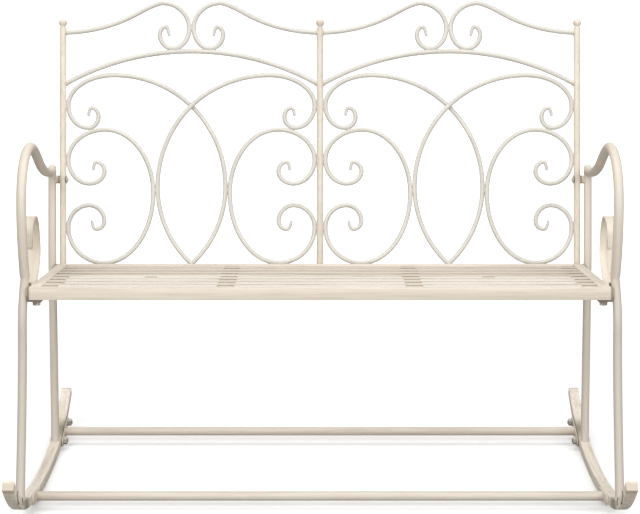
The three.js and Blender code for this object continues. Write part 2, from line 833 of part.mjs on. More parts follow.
function postEnvelope(x) {
  const radius = postDiameter / 2 + clearance;
  const length = postHeight - railBottom;
  const geometry = new THREE.CylinderGeometry(radius, radius, length, postSides);
  return geometry.translate(x, railBottom + length / 2, 0);
}

function railEnvelope() {
  const depth = bottomRailDepth / 2 + cutOverrun;
  return box(-postX, postX, railBottom - cutOverrun, railTop + clearance, -depth, depth);
}

// The bottom rail's upper front edge, seen from the seat, and how far back its ties reach
const railFront = new THREE.Vector3(0, railTop, bottomRailDepth / 2).applyMatrix4(back.matrixWorld)
  .applyMatrix4(seat.matrixWorld.clone().invert());
const tieRearY = railFront.y + backTieLap;

function makeBottomRail() {
  const half = bottomRailDepth / 2;
  const rail = trimmed(box(-postX, postX, railBottom, railTop, -half, half),
    postEnvelope(-postX), postEnvelope(postX));
  const ties = [];
  const bores = [];
  for (const side of [-1, 1]) {
    const x = side * backTieX;
    const tie = box(x - backTieWidth / 2, x + backTieWidth / 2, seatDepth + clearance, tieRearY,
      railFront.z - bottomRailHeight / 2 - backTieHeight, railFront.z - bottomRailHeight / 2);
    ties.push(carried(tie, seat, back));
    bores.push(carried(backTieBore(x), seat, back));
  }
  return trimmed(welded(rail, ...ties), ...bores);
}

// Bore along the seat's depth at a back tie
function backTieBore(x) {
  const length = seatRailWidth * 2 + cutOverrun;
  const geometry = new THREE.CylinderGeometry(tieBore / 2, tieBore / 2, length, boltSides);
  return geometry.translate(x, seatDepth, -backTieBoltDrop);
}

function makeRearRail() {
  const rail = mitredRail(2 * (seatHalfWidth - clearance), Math.PI).translate(0, seatDepth, 0);
  return trimmed(rail, backTieBore(-backTieX), backTieBore(backTieX));
}

// The arch of a bay is a circular arc between post centres
function archPath(centre) {
  const half = bayWidth / 2;
  const radius = (half * half + archRise * archRise) / (2 * archRise);
  const spread = Math.asin(half / radius) / degrees;
  const foot = archPeakHeight - archRise;
  const waypoints = [
    [centre - half, foot, spread],
    [centre, archPeakHeight, 0],
    [centre + half, foot, -spread],
  ];
  return arcChain(waypoints, atBack);
}

function bayLine(shares, centre, side) {
  const line = sized(shares, bayWidth, backHeight);
  return arcChain(shifted(side < 0 ? line : mirrored(line), centre), atBack);
}

const archSteps = 12;
const topScrollSteps = 26;
const crossingSteps = 34;
const ringScrollSteps = 42;

function archBar(centre, grow) {
  return bentBar(archPath(centre), archDiameter + 2 * grow, archSteps);
}

function topScrollBar(centre, side, grow) {
  const taper = tipTaper(curlTipDiameter / topScrollDiameter, topScrollTaper);
  return bentBar(bayLine(topScrollShares, centre, side), topScrollDiameter + 2 * grow,
    topScrollSteps, taper);
}

function ringScrollBar(centre, side, grow) {
  const taper = bothTipsTaper(curlTipDiameter / ringScrollDiameter, ringTaper);
  return bentBar(bayLine(ringScrollShares, centre, side), ringScrollDiameter + 2 * grow,
    ringScrollSteps, taper);
}

// The two crossing bars of a bay pass one before the other where they cross
function crossingBar(centre, side, grow) {
  const taper = tipTaper(curlTipDiameter / crossingBarDiameter, crossingTaper);
  const geometry = bentBar(bayLine(crossingBarShares, centre, side), crossingBarDiameter + 2 * grow,
    crossingSteps, taper);
  const crossing = new THREE.Vector2(centre, crossingBarShares[2][1] * backHeight);
  const depth = -side * (crossingBarDiameter / 2 + clearance / 2);
  const position = geometry.attributes.position;
  for (let i = 0; i < position.count; i += 1) {
    const away = crossing.distanceTo(new THREE.Vector2(position.getX(i), position.getY(i)));
    const near = 1 - THREE.MathUtils.smoothstep(away, crossingFlat, crossingReach);
    position.setZ(i, position.getZ(i) + depth * near);
  }
  return geometry;
}

// Everything past the middle plane of a bay, for one side's bars, up to a height
function pastMiddle(centre, side, height) {
  const gap = clearance / 2;
  return box(centre + side * gap, centre - side * cutOverrun, railBottom - cutOverrun, height,
    -cutOverrun, cutOverrun);
}

function makeBay(bayName, centre) {
  const posts = [postEnvelope(-postX), postEnvelope(0), postEnvelope(postX)];
  const middleCut = backHeight * middleCutShare;
  add(back, `arch_rail_${bayName}`, trimmed(archBar(centre, 0), ...posts), iron);
  for (const [sideName, side] of [['outer', Math.sign(centre)], ['inner', -Math.sign(centre)]]) {
    const name = `${bayName}_${sideName}`;
    const topScroll = trimmed(topScrollBar(centre, side, 0), ...posts, archBar(centre, clearance),
      pastMiddle(centre, side, backHeight + cutOverrun));
    add(back, `top_scroll_${name}`, topScroll, iron);
    const crossing = trimmed(crossingBar(centre, side, 0), ...posts, archBar(centre, clearance),
      railEnvelope(), pastMiddle(centre, side, middleCut));
    add(back, `crossing_bar_${name}`, crossing, iron);
    const ring = trimmed(ringScrollBar(centre, side, 0), ...posts, railEnvelope(),
      crossingBar(centre, side, clearance), crossingBar(centre, -side, clearance));
    add(back, `ring_scroll_${name}`, ring, iron);
  }
}

setFrameAtRest();

// Side frames
for (const [name, side] of [['left', -1], ['right', 1]]) {
  add(frame, `rocker_${name}`, makeRocker(side * sideX), iron);
  add(frame, `front_leg_${name}`, makeFrontLeg(side), iron);
  add(frame, `side_scroll_${name}`, makeSideScroll(side), iron);
  add(frame, `rear_leg_${name}`, makeRearLeg(side), iron);
  add(frame, `arm_${name}`, makeArm(side), iron);
}

// Cross bars and their bolts: the front plates are threaded, the rear ones have nuts behind
const flangeGrip = rockerWidth + flangeThickness + 3 * clearance;
const flangeBolts = {
  front: flushBolt(heavyShank, heavyWasherDiameter, domeHeight, flangeGrip - clearance),
  rear: domeBolt(heavyShank, heavyWasherDiameter, heavyHexFlats, heavyHexHeight, flangeGrip),
};
for (const [name, barY] of [['front', frontCrossBarY], ['rear', rearCrossBarY]]) {
  add(frame, `cross_bar_${name}`, makeCrossBar(barY), iron);
  const bolt = flangeBolts[name];
  for (const [sideName, side] of [['left', -1], ['right', 1]]) {
    flangeBoltPoints(barY).forEach(([y, z], i) => {
      const placed = boltAlongX(side, sideX + rockerWidth / 2, y, z, bolt);
      add(frame, `flange_bolt_${name}_${sideName}_${i + 1}`, placed, fastener);
    });
  }
}

// Seat
add(seat, 'seat_rail_front', mitredRail(2 * (seatHalfWidth - clearance), 0), iron);
add(seat, 'seat_rail_rear', makeRearRail(), iron);
for (const [name, side] of [['left', -1], ['right', 1]]) {
  add(seat, `seat_rail_${name}`, makeSideRail(side), iron);
  add(seat, `seat_support_${name}`, makeSupport(side * supportX), iron);
}
const slatGap = (seatDepth - 2 * seatRailWidth - slatCount * slatWidth) / (slatCount + 1);
const slatHalfLength = seatHalfWidth - seatRailWidth - clearance;
for (let i = 0; i < slatCount; i += 1) {
  const from = seatRailWidth + slatGap + i * (slatWidth + slatGap);
  const slat = box(-slatHalfLength, slatHalfLength, from, from + slatWidth, -slatThickness, 0);
  add(seat, `seat_slat_${i + 1}`, slat, slatIron);
}

// Seat bolts: from below, through a tab's foot into the side rail
for (const [sideName, side] of [['left', -1], ['right', 1]]) {
  for (const [name, setback] of [['front', frontTabSetback], ['rear', rearTabSetback]]) {
    const bearing = -seatRailHeight - tabThickness - 2 * clearance;
    const reach = tabThickness + clearance + seatBoltDepth;
    const bolt = hexBolt(heavyShank, heavyWasherDiameter, heavyHexFlats, heavyHexHeight, reach);
    bolt.rotateX(Math.PI / 2).translate(side * seatBoltX, setback + tabBoltSetback, bearing);
    add(seat, `seat_bolt_${name}_${sideName}`, bolt, fastener);
  }
}

// Back
add(back, 'back_post_middle', makePost(0, railTop + clearance), iron);
add(back, 'back_bottom_rail', makeBottomRail(), iron);
for (const [name, side] of [['left', -1], ['right', 1]]) {
  const x = side * postX;
  const bore = pinAlongX(x - postDiameter, x + postDiameter, backBoltHeight, 0, lightBore);
  add(back, `back_post_${name}`, trimmed(makePost(x, railBottom), bore), iron);
  const legReach = postDiameter + backSpacerLength + backBoltDepth + clearance;
  const legBolt = flushBolt(lightShank, lightHeadDiameter, lightHeadHeight, legReach);
  legBolt.rotateZ(-side * Math.PI / 2)
    .translate(x - side * (postDiameter / 2 + clearance), backBoltY, backBoltZ);
  add(frame, `back_bolt_${name}`, legBolt, fastener);
  const tieGrip = tieRearY - seatDepth + seatRailWidth + 2 * clearance;
  const tieBolt = domeBolt(tieShank, tieHeadDiameter, tieHexFlats, tieHexHeight, tieGrip);
  tieBolt.rotateX(Math.PI).translate(side * backTieX, tieRearY + clearance, -backTieBoltDrop);
  add(seat, `back_tie_bolt_${name}`, tieBolt, fastener);
}
makeBay('left', -bayWidth / 2);
makeBay('right', bayWidth / 2);

export default bench;
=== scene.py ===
"""Rocking bench of painted iron: its smooth bars, seat, bolts, welds and antique white paint."""

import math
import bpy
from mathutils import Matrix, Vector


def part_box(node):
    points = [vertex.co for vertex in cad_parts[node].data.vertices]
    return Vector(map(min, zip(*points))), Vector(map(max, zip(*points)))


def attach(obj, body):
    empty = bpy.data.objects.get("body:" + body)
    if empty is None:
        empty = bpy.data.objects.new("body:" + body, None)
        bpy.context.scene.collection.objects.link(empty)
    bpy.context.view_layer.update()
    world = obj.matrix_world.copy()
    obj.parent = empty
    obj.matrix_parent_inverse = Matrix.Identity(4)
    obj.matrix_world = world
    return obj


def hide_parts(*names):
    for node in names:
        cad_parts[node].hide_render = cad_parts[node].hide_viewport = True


bl_info = {
    "name": "Rocking bench",
    "version": (1, 0, 0),
    "blender": (4, 5, 0),
    "location": "View3D > Sidebar > Bench",
    "description": "Builds the bars, seat, bolts, welds and paint of a rocking bench",
    "category": "Object",
}

import bmesh
import bpy
import numpy as np
from bmesh.types import BMFace, BMVert
from bpy.props import FloatProperty, FloatVectorProperty, PointerProperty
from bpy.types import Operator, Panel, PropertyGroup
from mathutils import Matrix, Vector, noise
from mathutils.geometry import interpolate_bezier

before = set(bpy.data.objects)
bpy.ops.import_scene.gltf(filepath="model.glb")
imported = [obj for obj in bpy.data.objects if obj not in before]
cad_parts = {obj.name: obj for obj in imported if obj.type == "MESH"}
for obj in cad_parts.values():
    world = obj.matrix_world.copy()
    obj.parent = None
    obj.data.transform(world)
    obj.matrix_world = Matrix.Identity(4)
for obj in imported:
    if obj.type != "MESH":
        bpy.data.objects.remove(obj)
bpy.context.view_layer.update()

SIDES = {"left": -1, "right": 1}
BODY = "root"

# Waypoints (across share, height share, heading in degrees) of the left bars of a bay
TOP_SCROLL_SHARES = [
    (-0.5, 0.886, 1), (-0.215, 0.957, 29), (-0.1132, 1, 0), (-0.0088, 0.904, -90),
    (-0.0722, 0.825, -180), (-0.123, 0.879, -270), (-0.0985, 0.9087, -360), (-0.0855, 0.871, -440),
]
CROSSING_BAR_SHARES = [
    (0.008, -0.012, 139), (-0.132, 0.292, 90), (0, 0.603, 44), (0.302, 0.722, 0), (0.479, 0.605, -90),
    (0.4031, 0.5195, -180), (0.3617, 0.561, -270), (0.388, 0.5957, -360), (0.4005, 0.564, -450),
]
RING_SCROLL_SHARES = [
    (-0.3815, 0.3541, 90), (-0.3715, 0.3875, 0), (-0.3384, 0.3526, -90), (-0.3965, 0.3044, -180),
    (-0.479, 0.3954, -270), (-0.3361, 0.512, -360), (-0.149, 0.2671, -450), (-0.3398, -0.001, -540),
    (-0.479, 0.1353, -630), (-0.3976, 0.2208, -720), (-0.3391, 0.1603, -810),
    (-0.3702, 0.1283, -900), (-0.3875, 0.1638, -990),
]
# Shares of the arm's length and of its rise above the front junction
ARM_SHARES = [(0.548, 0.85, 155), (0.287, 1, 180), (0.0536, 0.832, 226), (0, 0.51, 270)]
# Shares of the side scroll's reach behind and rise above the front junction
SIDE_SCROLL_SHARES = [
    (-0.119, -0.245, 0), (0.604, -0.127, 24), (1, 0.343, 90), (0.62, 1, 180), (0.209, 0.735, 268),
    (0.202, 0.66, 269),
]
# Headings of the side bars in degrees
FRONT_FOOT_HEADING = 73
KNEE_HEADING = 88
JUNCTION_HEADING = 44
ARM_FOOT_HEADING = 295
# The waypoint where a crossing bar passes its twin
CROSSING_WAYPOINT = 2

# How finely the shapes are drawn
STATION_SPACING = 0.002
CURVE_STEPS = 48
ROUND_STEPS = 6
BAR_RESOLUTION = 8
ROUND_SIDES = 32
TIP_STEPS = 40
FRONT_STEPS = 30
REAR_STEPS = 20
BALL_STEPS = 12
DOME_STEPS = 8
THREAD_TURNS = 3
COLLAR_SIDES = 8
COLLAR_STEPS = 36
BLOB_LEVELS = 3
CORNER_SEGMENTS = 4
BEND_SEGMENTS = 5
PLATE_SEGMENTS = 10

# Shares of a piece's own sizes: the neck's taper, a nut's turned corners and what stands past it
NECK_SHARE = 0.4
NUT_CORNER_SHARE = 0.6
TAIL_SHARE = 0.35
# A thread's crests and roots: (place along a turn, radius as a share of the shank)
THREAD_SHARES = ((0.2, 0.5), (0.7, 0.43))
THREAD_END_SHARE = 0.4
# Roundness of the plates' and seams' ends, as a share of their half height
PLATE_ROUND_SHARE = 0.996
SEAM_ROUND_SHARE = 0.99

# Lengths in metres under which points count as one
MERGE = 1e-6
FINE_MERGE = 1e-7
# The blunt end that a rounded bar keeps, as a share of its radius
BLUNT_SHARE = 0.04

# Painted shade by a front foot: dark lines on the rocker's inner face, as angles along the rocker and shares
# of its thickness
FOOT_SHADE_LINES = (((-31, 1), (-32.2, 0.75), (-32.6, 0.5), (-31.6, 0.25), (-29.5, 0.1), (-27.5, 0.02)),
              ((-21.5, 1), (-20.5, 0.8), (-20, 0.5), (-20.3, 0.3)))
# Girth and length shares of a painted shade line's beads
LINE_SHARE = 0.95
LINE_REACH_SHARE = 0.62
# Welds' sizes as shares of a bead: across, out and along
WELD_SHARES = (1.25, 1.9, 3.2)
ARM_WELD_SHARES = (3.6, 3.6, 4.4)
# Painted shade where the side strip meets the front leg: its sizes as shares of a bead, and its way
STRIP_SHADE_SHARES = (1.3, 1.7, 3.5)
STRIP_SHADE_WAY = (0, 1, 0.3)
TAB_WELD_SHARES = (1.4, 1.6)
TAB_WELD_REACH_SHARE = 0.36
# Collars at a bar's end: how far they stand out and their girth, as shares of a bead
END_COLLAR_SHARES = (0.1, 0.8)
ARM_COLLAR_SHARES = (-0.3, 0.5)
FOOT_COLLAR_SHARE = 0.25
SHADE_COLLAR_SHARE = 0.5
# Roughness of the welds: share of their girth, and bumps per metre
COLLAR_ROUGHNESS = (0.35, 260)
BLOB_ROUGHNESS = (0.18, 420)
ROUGHNESS_SHIFTS = ((0.37, 0.11, 0.73), (9.7, -1.42, -7.22), (-2.63, 6.31, 4.93))
# Gaps under which two bars are welded, and the least distance between two welds
WELD_GAP = 0.0008
WELD_SPACING = 0.03
ARM_WELD_SPACING = 0.08
# Kinds of bars in the back that touch along their sides
WELDED_KINDS = ({"ring", "crossing"}, {"crossing", "arch"}, {"top", "arch"}, {"top"})

# The first slat, counted from the front, darkened as painted shade
FIRST_SHADED_SLAT = 5

# Brush strokes per metre along and across the way a piece is brushed
ALONG = 9
ACROSS = 330
BRUSH_WAYS = {
    "bars": (ALONG, ACROSS, ACROSS),
    "across": (ALONG, ACROSS, ACROSS),
    "lengthwise": (ACROSS, ALONG, ACROSS),
    "upright": (ACROSS, ACROSS, ALONG),
}
# The brushed paint's noise: (scale, detail, roughness), and the ranges in which its masks rise
STREAKS = (1, 4, 0.65)
STREAK_RANGE = (0.42, 0.72)
STREAK_AMOUNT = 0.75
BROAD_PATCHES = (0.16, 2, 0.5)
BROAD_RANGE = (0.32, 0.68)
BROAD_AMOUNT = 0.55
WORN_SPOTS = (2.3, 3, 0.6)
WORN_RANGE = (0.68, 0.78)
PAINT_ROUGHNESS = (0.44, 0.62)
PAINT_BUMP = {"Strength": 0.25, "Distance": 0.0003}
PAINT_SPECULAR = 0.4
ROCKER_FINISH = "Antique white rockers with painted light and shade"
# Each paint's brush way, colour and wash, with the amounts of wash and of worn spots
PAINTS = {
    "Antique white brushed bars": ("bars", "paint", "wash", 0.75, 0.25),
    "Antique white brushed across": ("across", "paint", "wash", 0.75, 0.25),
    "Antique white brushed lengthwise": ("lengthwise", "paint", "wash", 0.75, 0.25),
    "Antique white brushed upright": ("upright", "paint", "wash", 0.75, 0.25),
    # Painted shade on the front legs
    "Antique white front legs": ("bars", "shaded_leg_paint", "wash", 0.85, 0.45),
    # Painted shade on the arms and rear legs
    "Antique white arms": ("bars", "shaded_arm_paint", "wash", 0.75, 0.25),
    # Painted light on the rockers, with painted shade at the feet and tips
    ROCKER_FINISH: ("lengthwise", "lit_rocker_paint", "wash", 0.75, 0.25),
    # Painted shade on the front bar and middle post
    "Antique white front bar": ("across", "shaded_arm_paint", "wash", 0.75, 0.25),
    "Antique white middle post": ("upright", "shaded_arm_paint", "wash", 0.75, 0.25),
    "Antique white slats": ("across", "paint", "slat_wash", 0.9, 0.3),
    # Painted shade on the rear slats
    "Antique white rear slats in painted shade": ("across", "shaded_rear_slat_paint", "slat_wash", 0.9, 0.3),
    "Antique white scrolls": ("bars", "scroll_paint", "scroll_wash", 0.75, 0.25),
    "Painted shade under the slats": ("lengthwise", "shade_paint", "worn", 0.75, 0.25),
}
# Each uneven finish's colour and darker colour, with its metallic, roughness and scale
UNEVEN_FINISHES = {
    "Painted welds": ("weld", "wash", 0, 0.6, 260),
    # Painted shade: the seat tabs' dark
    "Seat tabs in painted shade": ("tab", "seam_shade", 0.2, 0.55, 180),
    # Painted shade: dark lines and rings in the seams
    "Painted shade in the seams": ("seam_shade", "worn", 0, 0.7, 300),
    "Dull bolts": ("bolt", "worn", 0.55, 0.5, 420),
}
MOTTLE_DETAIL = (3, 0.6)
MOTTLE_RANGE = (0.45, 0.7)
POOL_PATCHES = (110, 3, 0.6)
POOL_RANGE = (0.05, 0.5)
# Where painted shade pools by a front foot, and where the wash colour is painted as shade over a rocker's tip
POOL_SETBACK = 0.012
POOL_HEIGHT_SHARE = 0.6
POOL_RADIUS = 0.052
POOL_CORE = 0.01
TIP_SHADE = (0.014, 0.008)

# Each lamp's place, width and power
LAMPS = {
    "Key lamp": ((-1.4, -3.6, 2.6), 2.2, 85),
    "Fill lamp": ((2.0, -3.2, 2.0), 2.2, 59),
    "Top lamp": ((0.0, 0.2, 3.2), 2.6, 44),
}
LAMP_TARGET = (0, 0, 0.4)
WORLD_STRENGTH = 0.37
WHITE = (1, 1, 1, 1)
FLOOR_SIZE = 30
FLOOR_ROUGHNESS = 0.9
# Distances between which the floor turns white, and its own glow near the bench and added far off
FLOOR_FADE = (0.9, 3.2)
FLOOR_GLOW = 0.28
FLOOR_FAR_GLOW = 0.75
# The camera with the bench's legs upright: its place, look downwards in degrees, lens and sensor
CAMERA_PLACE = (0, -3.85, 0.938)
CAMERA_DROP = 7.5
CAMERA_LENS = 117.68
CAMERA_SENSOR = 36


def size(label, metres, description):
    return FloatProperty(name=label, description=description, default=metres, unit="LENGTH", precision=4)


def angle(label, degrees, description):
    return FloatProperty(name=label, description=description, default=math.radians(degrees),
                         subtype="ANGLE", unit="ROTATION")


def colour(label, rgb, description):
    return FloatVectorProperty(name=label, description=description, default=rgb, size=3,
                               subtype="COLOR", min=0, max=1)


class SideFrameSizes(PropertyGroup):
    bench_depth: size("Bench depth", 0.833, "Depth over the rocker tips")
    spacing: size("Spacing", 1.05, "Distance between the middles of the two side frames")
    rocker_width: size("Rocker width", 0.02, "Width of the rocker bar across the bench")
    rocker_thickness: size("Rocker thickness", 0.018, "Height of the rocker bar")
    rocker_radius: size("Rocker radius", 1.6, "Radius of the rocker's long middle")
    front_tip_radius: size("Front tip radius", 0.34, "Radius of the rocker's front end")
    rear_tip_radius: size("Rear tip radius", 0.6, "Radius of the rocker's rear end")
    front_blend_reach: size("Front blend reach", 0.23, "Where the front end's radius starts")
    rear_blend_reach: size("Rear blend reach", 0.22, "Where the rear end's radius starts")
    rocker_low_y: size("Rocker low point", -0.02, "Place of the rocker's low point with the legs upright")
    rest_flat_length: size("Rest flat", 0.04, "Length of the flat that the rocker rests on")
    rest_tilt: angle("Rest tilt", 3.3, "How far the frame leans back at rest")
    rocker_edge: size("Rocker edge", 0.0016, "Rounding of the rocker's edges")
    leg_diameter: size("Leg diameter", 0.016, "Round bar of the legs")
    arm_diameter: size("Arm diameter", 0.018, "Round bar of the arms")
    front_foot_y: size("Front foot", -0.278, "Place of the front leg's foot")
    junction_y: size("Junction depth", -0.165, "Where the arm meets the front leg")
    junction_z: size("Junction height", 0.415, "Where the arm meets the front leg")
    knee_rise: size("Knee rise", 0.295, "Height of the front leg's knee above its foot")
    knee_reach: size("Knee reach", 0.067, "How far the knee lies behind the foot")
    leg_top_reach: size("Front leg top", 0.01, "How far the front leg goes on past the arm's foot")
    side_scroll_reach: size("Side scroll reach", 0.129, "Reach of the scroll under the arm")
    side_scroll_rise: size("Side scroll rise", 0.1, "Height of the scroll under the arm")
    side_strip_width: size("Side strip width", 0.023, "Width of the side scroll's strip")
    side_strip_taper: size("Side strip taper", 0.05, "Length over which the strip widens from its foot")
    side_strip_thickness: size("Side strip thickness", 0.004, "Thickness of the side scroll's strip")
    strip_shade_reach: size("Strip shade reach", 0.006, "Place of the painted shade behind the arm's foot")
    strip_shade_drop: size("Strip shade drop", 0.012, "Place of the painted shade under the arm's foot")
    side_strip_edge: size("Side strip edge", 0.0007, "Rounding of the strip's edges")
    rear_leg_y: size("Rear leg", 0.217, "Place of the rear leg")
    rear_leg_bend: size("Rear leg bend", 0.07, "Length of the bend in the rear leg")
    rear_leg_top_rise: size("Rear leg top", 0.185, "Rise of the rear leg's top above the back's foot")
    arm_top_z: size("Arm top", 0.641, "Height of the arm's crest")
    arm_front_y: size("Arm front", -0.195, "Place of the arm's foremost point")
    arm_rear_z: size("Arm rear", 0.57, "Height of the arm's end on the rear leg")
    front_bar_y: size("Front cross bar", -0.15, "Place of the front cross bar")
    rear_bar_y: size("Rear cross bar", 0.281, "Place of the rear cross bar")
    cross_bar_diameter: size("Cross bar diameter", 0.017, "Round bar between the rockers")
    flange_length: size("Flange length", 0.106, "Length of the plate on a cross bar's end")
    flange_height: size("Flange height", 0.0175, "Height of the plate on a cross bar's end")
    flange_thickness: size("Flange thickness", 0.003, "Thickness of the plate on a cross bar's end")
    flange_bolt_spacing: size("Flange bolt spacing", 0.079, "Distance between the plate's two bolts")


class SeatSizes(PropertyGroup):
    front_y: size("Front edge", -0.208, "Place of the seat's front edge")
    front_z: size("Front height", 0.4047, "Height of the seat's front edge")
    slope: angle("Slope", 1.9, "How far the seat drops to the back with the legs upright")
    half_width: size("Half width", 0.5127, "Half of the seat frame's length")
    rail_height: size("Rail height", 0.023, "Height of the seat rails")
    rail_edge: size("Rail edge", 0.0015, "Rounding of the seat rails' edges")
    rail_width: size("Rail width", 0.02, "Width of the seat rails")
    slat_width: size("Slat width", 0.02, "Width of a slat")
    slat_thickness: size("Slat thickness", 0.0015, "Thickness of a slat")
    slat_gap: size("Slat gap", 0.029, "Gap between two slats")
    slat_lip: size("Slat lip", 0.0011, "How far a slat's front edge is rolled down")
    slat_edge: size("Slat edge", 0.0005, "Rounding of the slats' edges")
    ledge_width: size("Ledge width", 0.0245, "Width of the ledge inside a side rail")
    support_x: size("Support place", 0.17, "Place of a support beside the middle")
    support_width: size("Support width", 0.029, "Width of a support under the slats")
    support_edge: size("Support edge", 0.0007, "Rounding of the supports' edges")
    tab_thickness: size("Tab thickness", 0.004, "Strip that carries the seat on a leg")
    tab_foot_reach: size("Tab foot", 0.021, "Reach of the tab's foot under the seat")
    tab_top_drop: size("Tab top", 0.0015, "How far the tab's top lies under the seat's top")
    tab_bend: size("Tab bend", 0.003, "Radius of the tab's bend")
    tab_edge: size("Tab edge", 0.0004, "Rounding of the tab's edges")
    front_tab_setback: size("Front tab", 0.008, "Place of the front tab behind the seat's front edge")
    front_tab_length: size("Front tab length", 0.03, "Length of the front tab")
    rear_tab_setback: size("Rear tab", 0.363, "Place of the rear tab behind the seat's front edge")
    rear_tab_length: size("Rear tab length", 0.062, "Length of the rear tab")
    tab_bolt_setback: size("Tab bolt", 0.016, "Place of the bolt behind the tab's front edge")


class BackSizes(PropertyGroup):
    lean: angle("Lean", 7.5, "How far the back leans with the legs upright")
    foot_y: size("Foot depth", 0.2165, "Place of the back's foot")
    foot_z: size("Foot height", 0.3917, "Height of the back's foot")
    height: size("Height", 0.509, "Height of the scrollwork's crest above the foot")
    bay_width: size("Bay width", 0.50395, "Distance between two posts' middles")
    post_diameter: size("Post diameter", 0.0135, "Round bar of the posts")
    post_height: size("Post height", 0.47, "Height of the middle of a post's finial")
    finial_diameter: size("Finial diameter", 0.016, "Ball on top of a post")
    neck_diameter: size("Neck diameter", 0.0095, "Neck under the ball")
    neck_height: size("Neck height", 0.003, "Height of the taper under the ball")
    spacer_length: size("Spacer length", 0.006, "Spacer between a rear leg and a post")
    spacer_flats: size("Spacer flats", 0.014, "Width over flats of the hexagon spacer")
    bolt_height: size("Bolt height", 0.16298, "Height of the bolt that holds the back on a rear leg")
    rail_height: size("Rail height", 0.009, "Height of the bottom rail")
    rail_edge: size("Rail edge", 0.0008, "Rounding of the bottom rail's edges")
    arch_diameter: size("Arch diameter", 0.0096, "Round bar of the arches")
    arch_rise: size("Arch rise", 0.0665, "Rise of an arch between its posts")
    arch_peak: size("Arch peak", 0.4145, "Height of an arch's crest")
    top_scroll_diameter: size("Top scroll diameter", 0.0094, "Round bar of the top scrolls")
    crossing_diameter: size("Crossing bar diameter", 0.009, "Round bar of the crossing bars")
    crossing_reach: size("Crossing reach", 0.075, "Where a crossing bar starts to leave the back's plane")
    crossing_flat: size("Crossing flat", 0.026, "Where a crossing bar is fully out of the back's plane")
    ring_diameter: size("Ring scroll diameter", 0.009, "Round bar of the ring scrolls")
    tip_diameter: size("Tip diameter", 0.0054, "Girth of a scroll at its tip")
    top_taper: size("Top scroll taper", 0.065, "Length over which a top scroll thins")
    curl_taper: size("Curl taper", 0.055, "Length over which the other scrolls thin")


class FastenerSizes(PropertyGroup):
    clearance: size("Clearance", 0.0003, "Gap between two pieces")
    heavy_shank: size("Heavy shank", 0.008, "Shank of the seat and flange bolts")
    heavy_flats: size("Heavy nut", 0.013, "Width over flats of the seat and flange bolts")
    heavy_height: size("Heavy nut height", 0.0055, "Height of the seat and flange bolts' nuts")
    heavy_washer: size("Heavy washer", 0.016, "Washer of the seat and flange bolts")
    light_shank: size("Light shank", 0.006, "Shank of the back's bolts")
    light_head: size("Light head", 0.014, "Round head of the back's bolts")
    light_head_height: size("Light head height", 0.004, "Height of the back's bolt heads")
    light_depth: size("Light depth", 0.008, "How deep the back's bolts sit in the rear legs")
    tie_shank: size("Tie shank", 0.005, "Shank of the tie bolts")
    tie_flats: size("Tie nut", 0.008, "Width over flats of the tie bolts")
    tie_height: size("Tie nut height", 0.004, "Height of the tie bolts' nuts")
    tie_head: size("Tie head", 0.0084, "Head of the tie bolts")
    seat_bolt_reach: size("Seat bolt reach", 0.01, "How far a seat bolt goes into its tab")
    washer_thickness: size("Washer thickness", 0.0016, "Thickness of the washers")
    dome_height: size("Dome height", 0.0026, "Height of the round heads")
    weld_bead: size("Weld bead", 0.0017, "Thickness of a weld bead")
    # Painted shade: a dark seam in the gap at each rear plate
    seam_width: size("Seam width", 0.0014, "Width of the painted shade seam at a rear plate")
    seam_reach: size("Seam reach", 0.0007, "How far the painted shade seam sticks out round a rear plate")


class PaintColours(PropertyGroup):
    paint: colour("Paint", (0.79, 0.715, 0.61), "Antique white paint")
    # Painted shade: the front legs' antique white is darkened to stand in for their shade
    shaded_leg_paint: colour("Shaded leg paint", (0.555, 0.515, 0.455), "Antique white darkened as painted shade on the front legs")
    # Painted shade: antique white darkened for the arms, rear legs, front bar and middle post
    shaded_arm_paint: colour("Shaded arm paint", (0.72, 0.66, 0.57), "Antique white darkened as painted shade on the arms, rear legs, front bar and middle post")
    wash: colour("Wash", (0.60, 0.52, 0.42), "Warm grey-brown wash brushed over the paint")
    slat_wash: colour("Slat wash", (0.57, 0.48, 0.39), "Wash on the slats")
    scroll_paint: colour("Scroll paint", (0.715, 0.69, 0.63), "Cooler paint of the back's thin bars")
    scroll_wash: colour("Scroll wash", (0.47, 0.44, 0.39), "Wash on the back's thin bars")
    # Also the dark of the painted shade under the slats and in the seams
    worn: colour("Worn", (0.30, 0.25, 0.20), "Thin spots of the paint, also the dark in the painted shade under the slats and in the seams")
    weld: colour("Weld", (0.66, 0.59, 0.49), "Paint over the welds")
    bolt: colour("Bolt", (0.53, 0.485, 0.425), "Dull painted zinc of the bolts")
    # Painted shade: the tabs are dark for the shade in the gap between seat and legs
    tab: colour("Tab", (0.28, 0.245, 0.195), "Dark colour of the seat tabs, painted shade in the gap beside the legs")
    # Painted shade: the rearmost slats' antique white is darkened
    shaded_rear_slat_paint: colour("Shaded rear slat paint", (0.68, 0.605, 0.515), "Antique white darkened as painted shade on the rearmost slats")
    # Painted shade: the supports and ledges under the slats are coloured dark
    shade_paint: colour("Shade paint", (0.49, 0.435, 0.36), "Painted shade under the slats")
    # Painted light: the rockers' antique white is lightened
    lit_rocker_paint: colour("Lit rocker paint", (0.92, 0.84, 0.72), "Antique white lightened as painted light on the rockers")
    # Painted shade: an olive dark pooled round the front feet
    foot_shade: colour("Foot shade", (0.30, 0.27, 0.20), "Olive colour painted as shade round the front feet")
    # Painted shade: the dark of the seat tabs and of the lines and rings in the seams
    seam_shade: colour("Seam shade", (0.20, 0.17, 0.13), "Dark colour painted as shade in the seams and round welds")
    floor: colour("Floor", (0.9, 0.9, 0.9), "Studio floor as the camera sees it")
    floor_bounce: colour("Floor bounce", (0.4, 0.39, 0.38), "Studio floor as it throws light back")


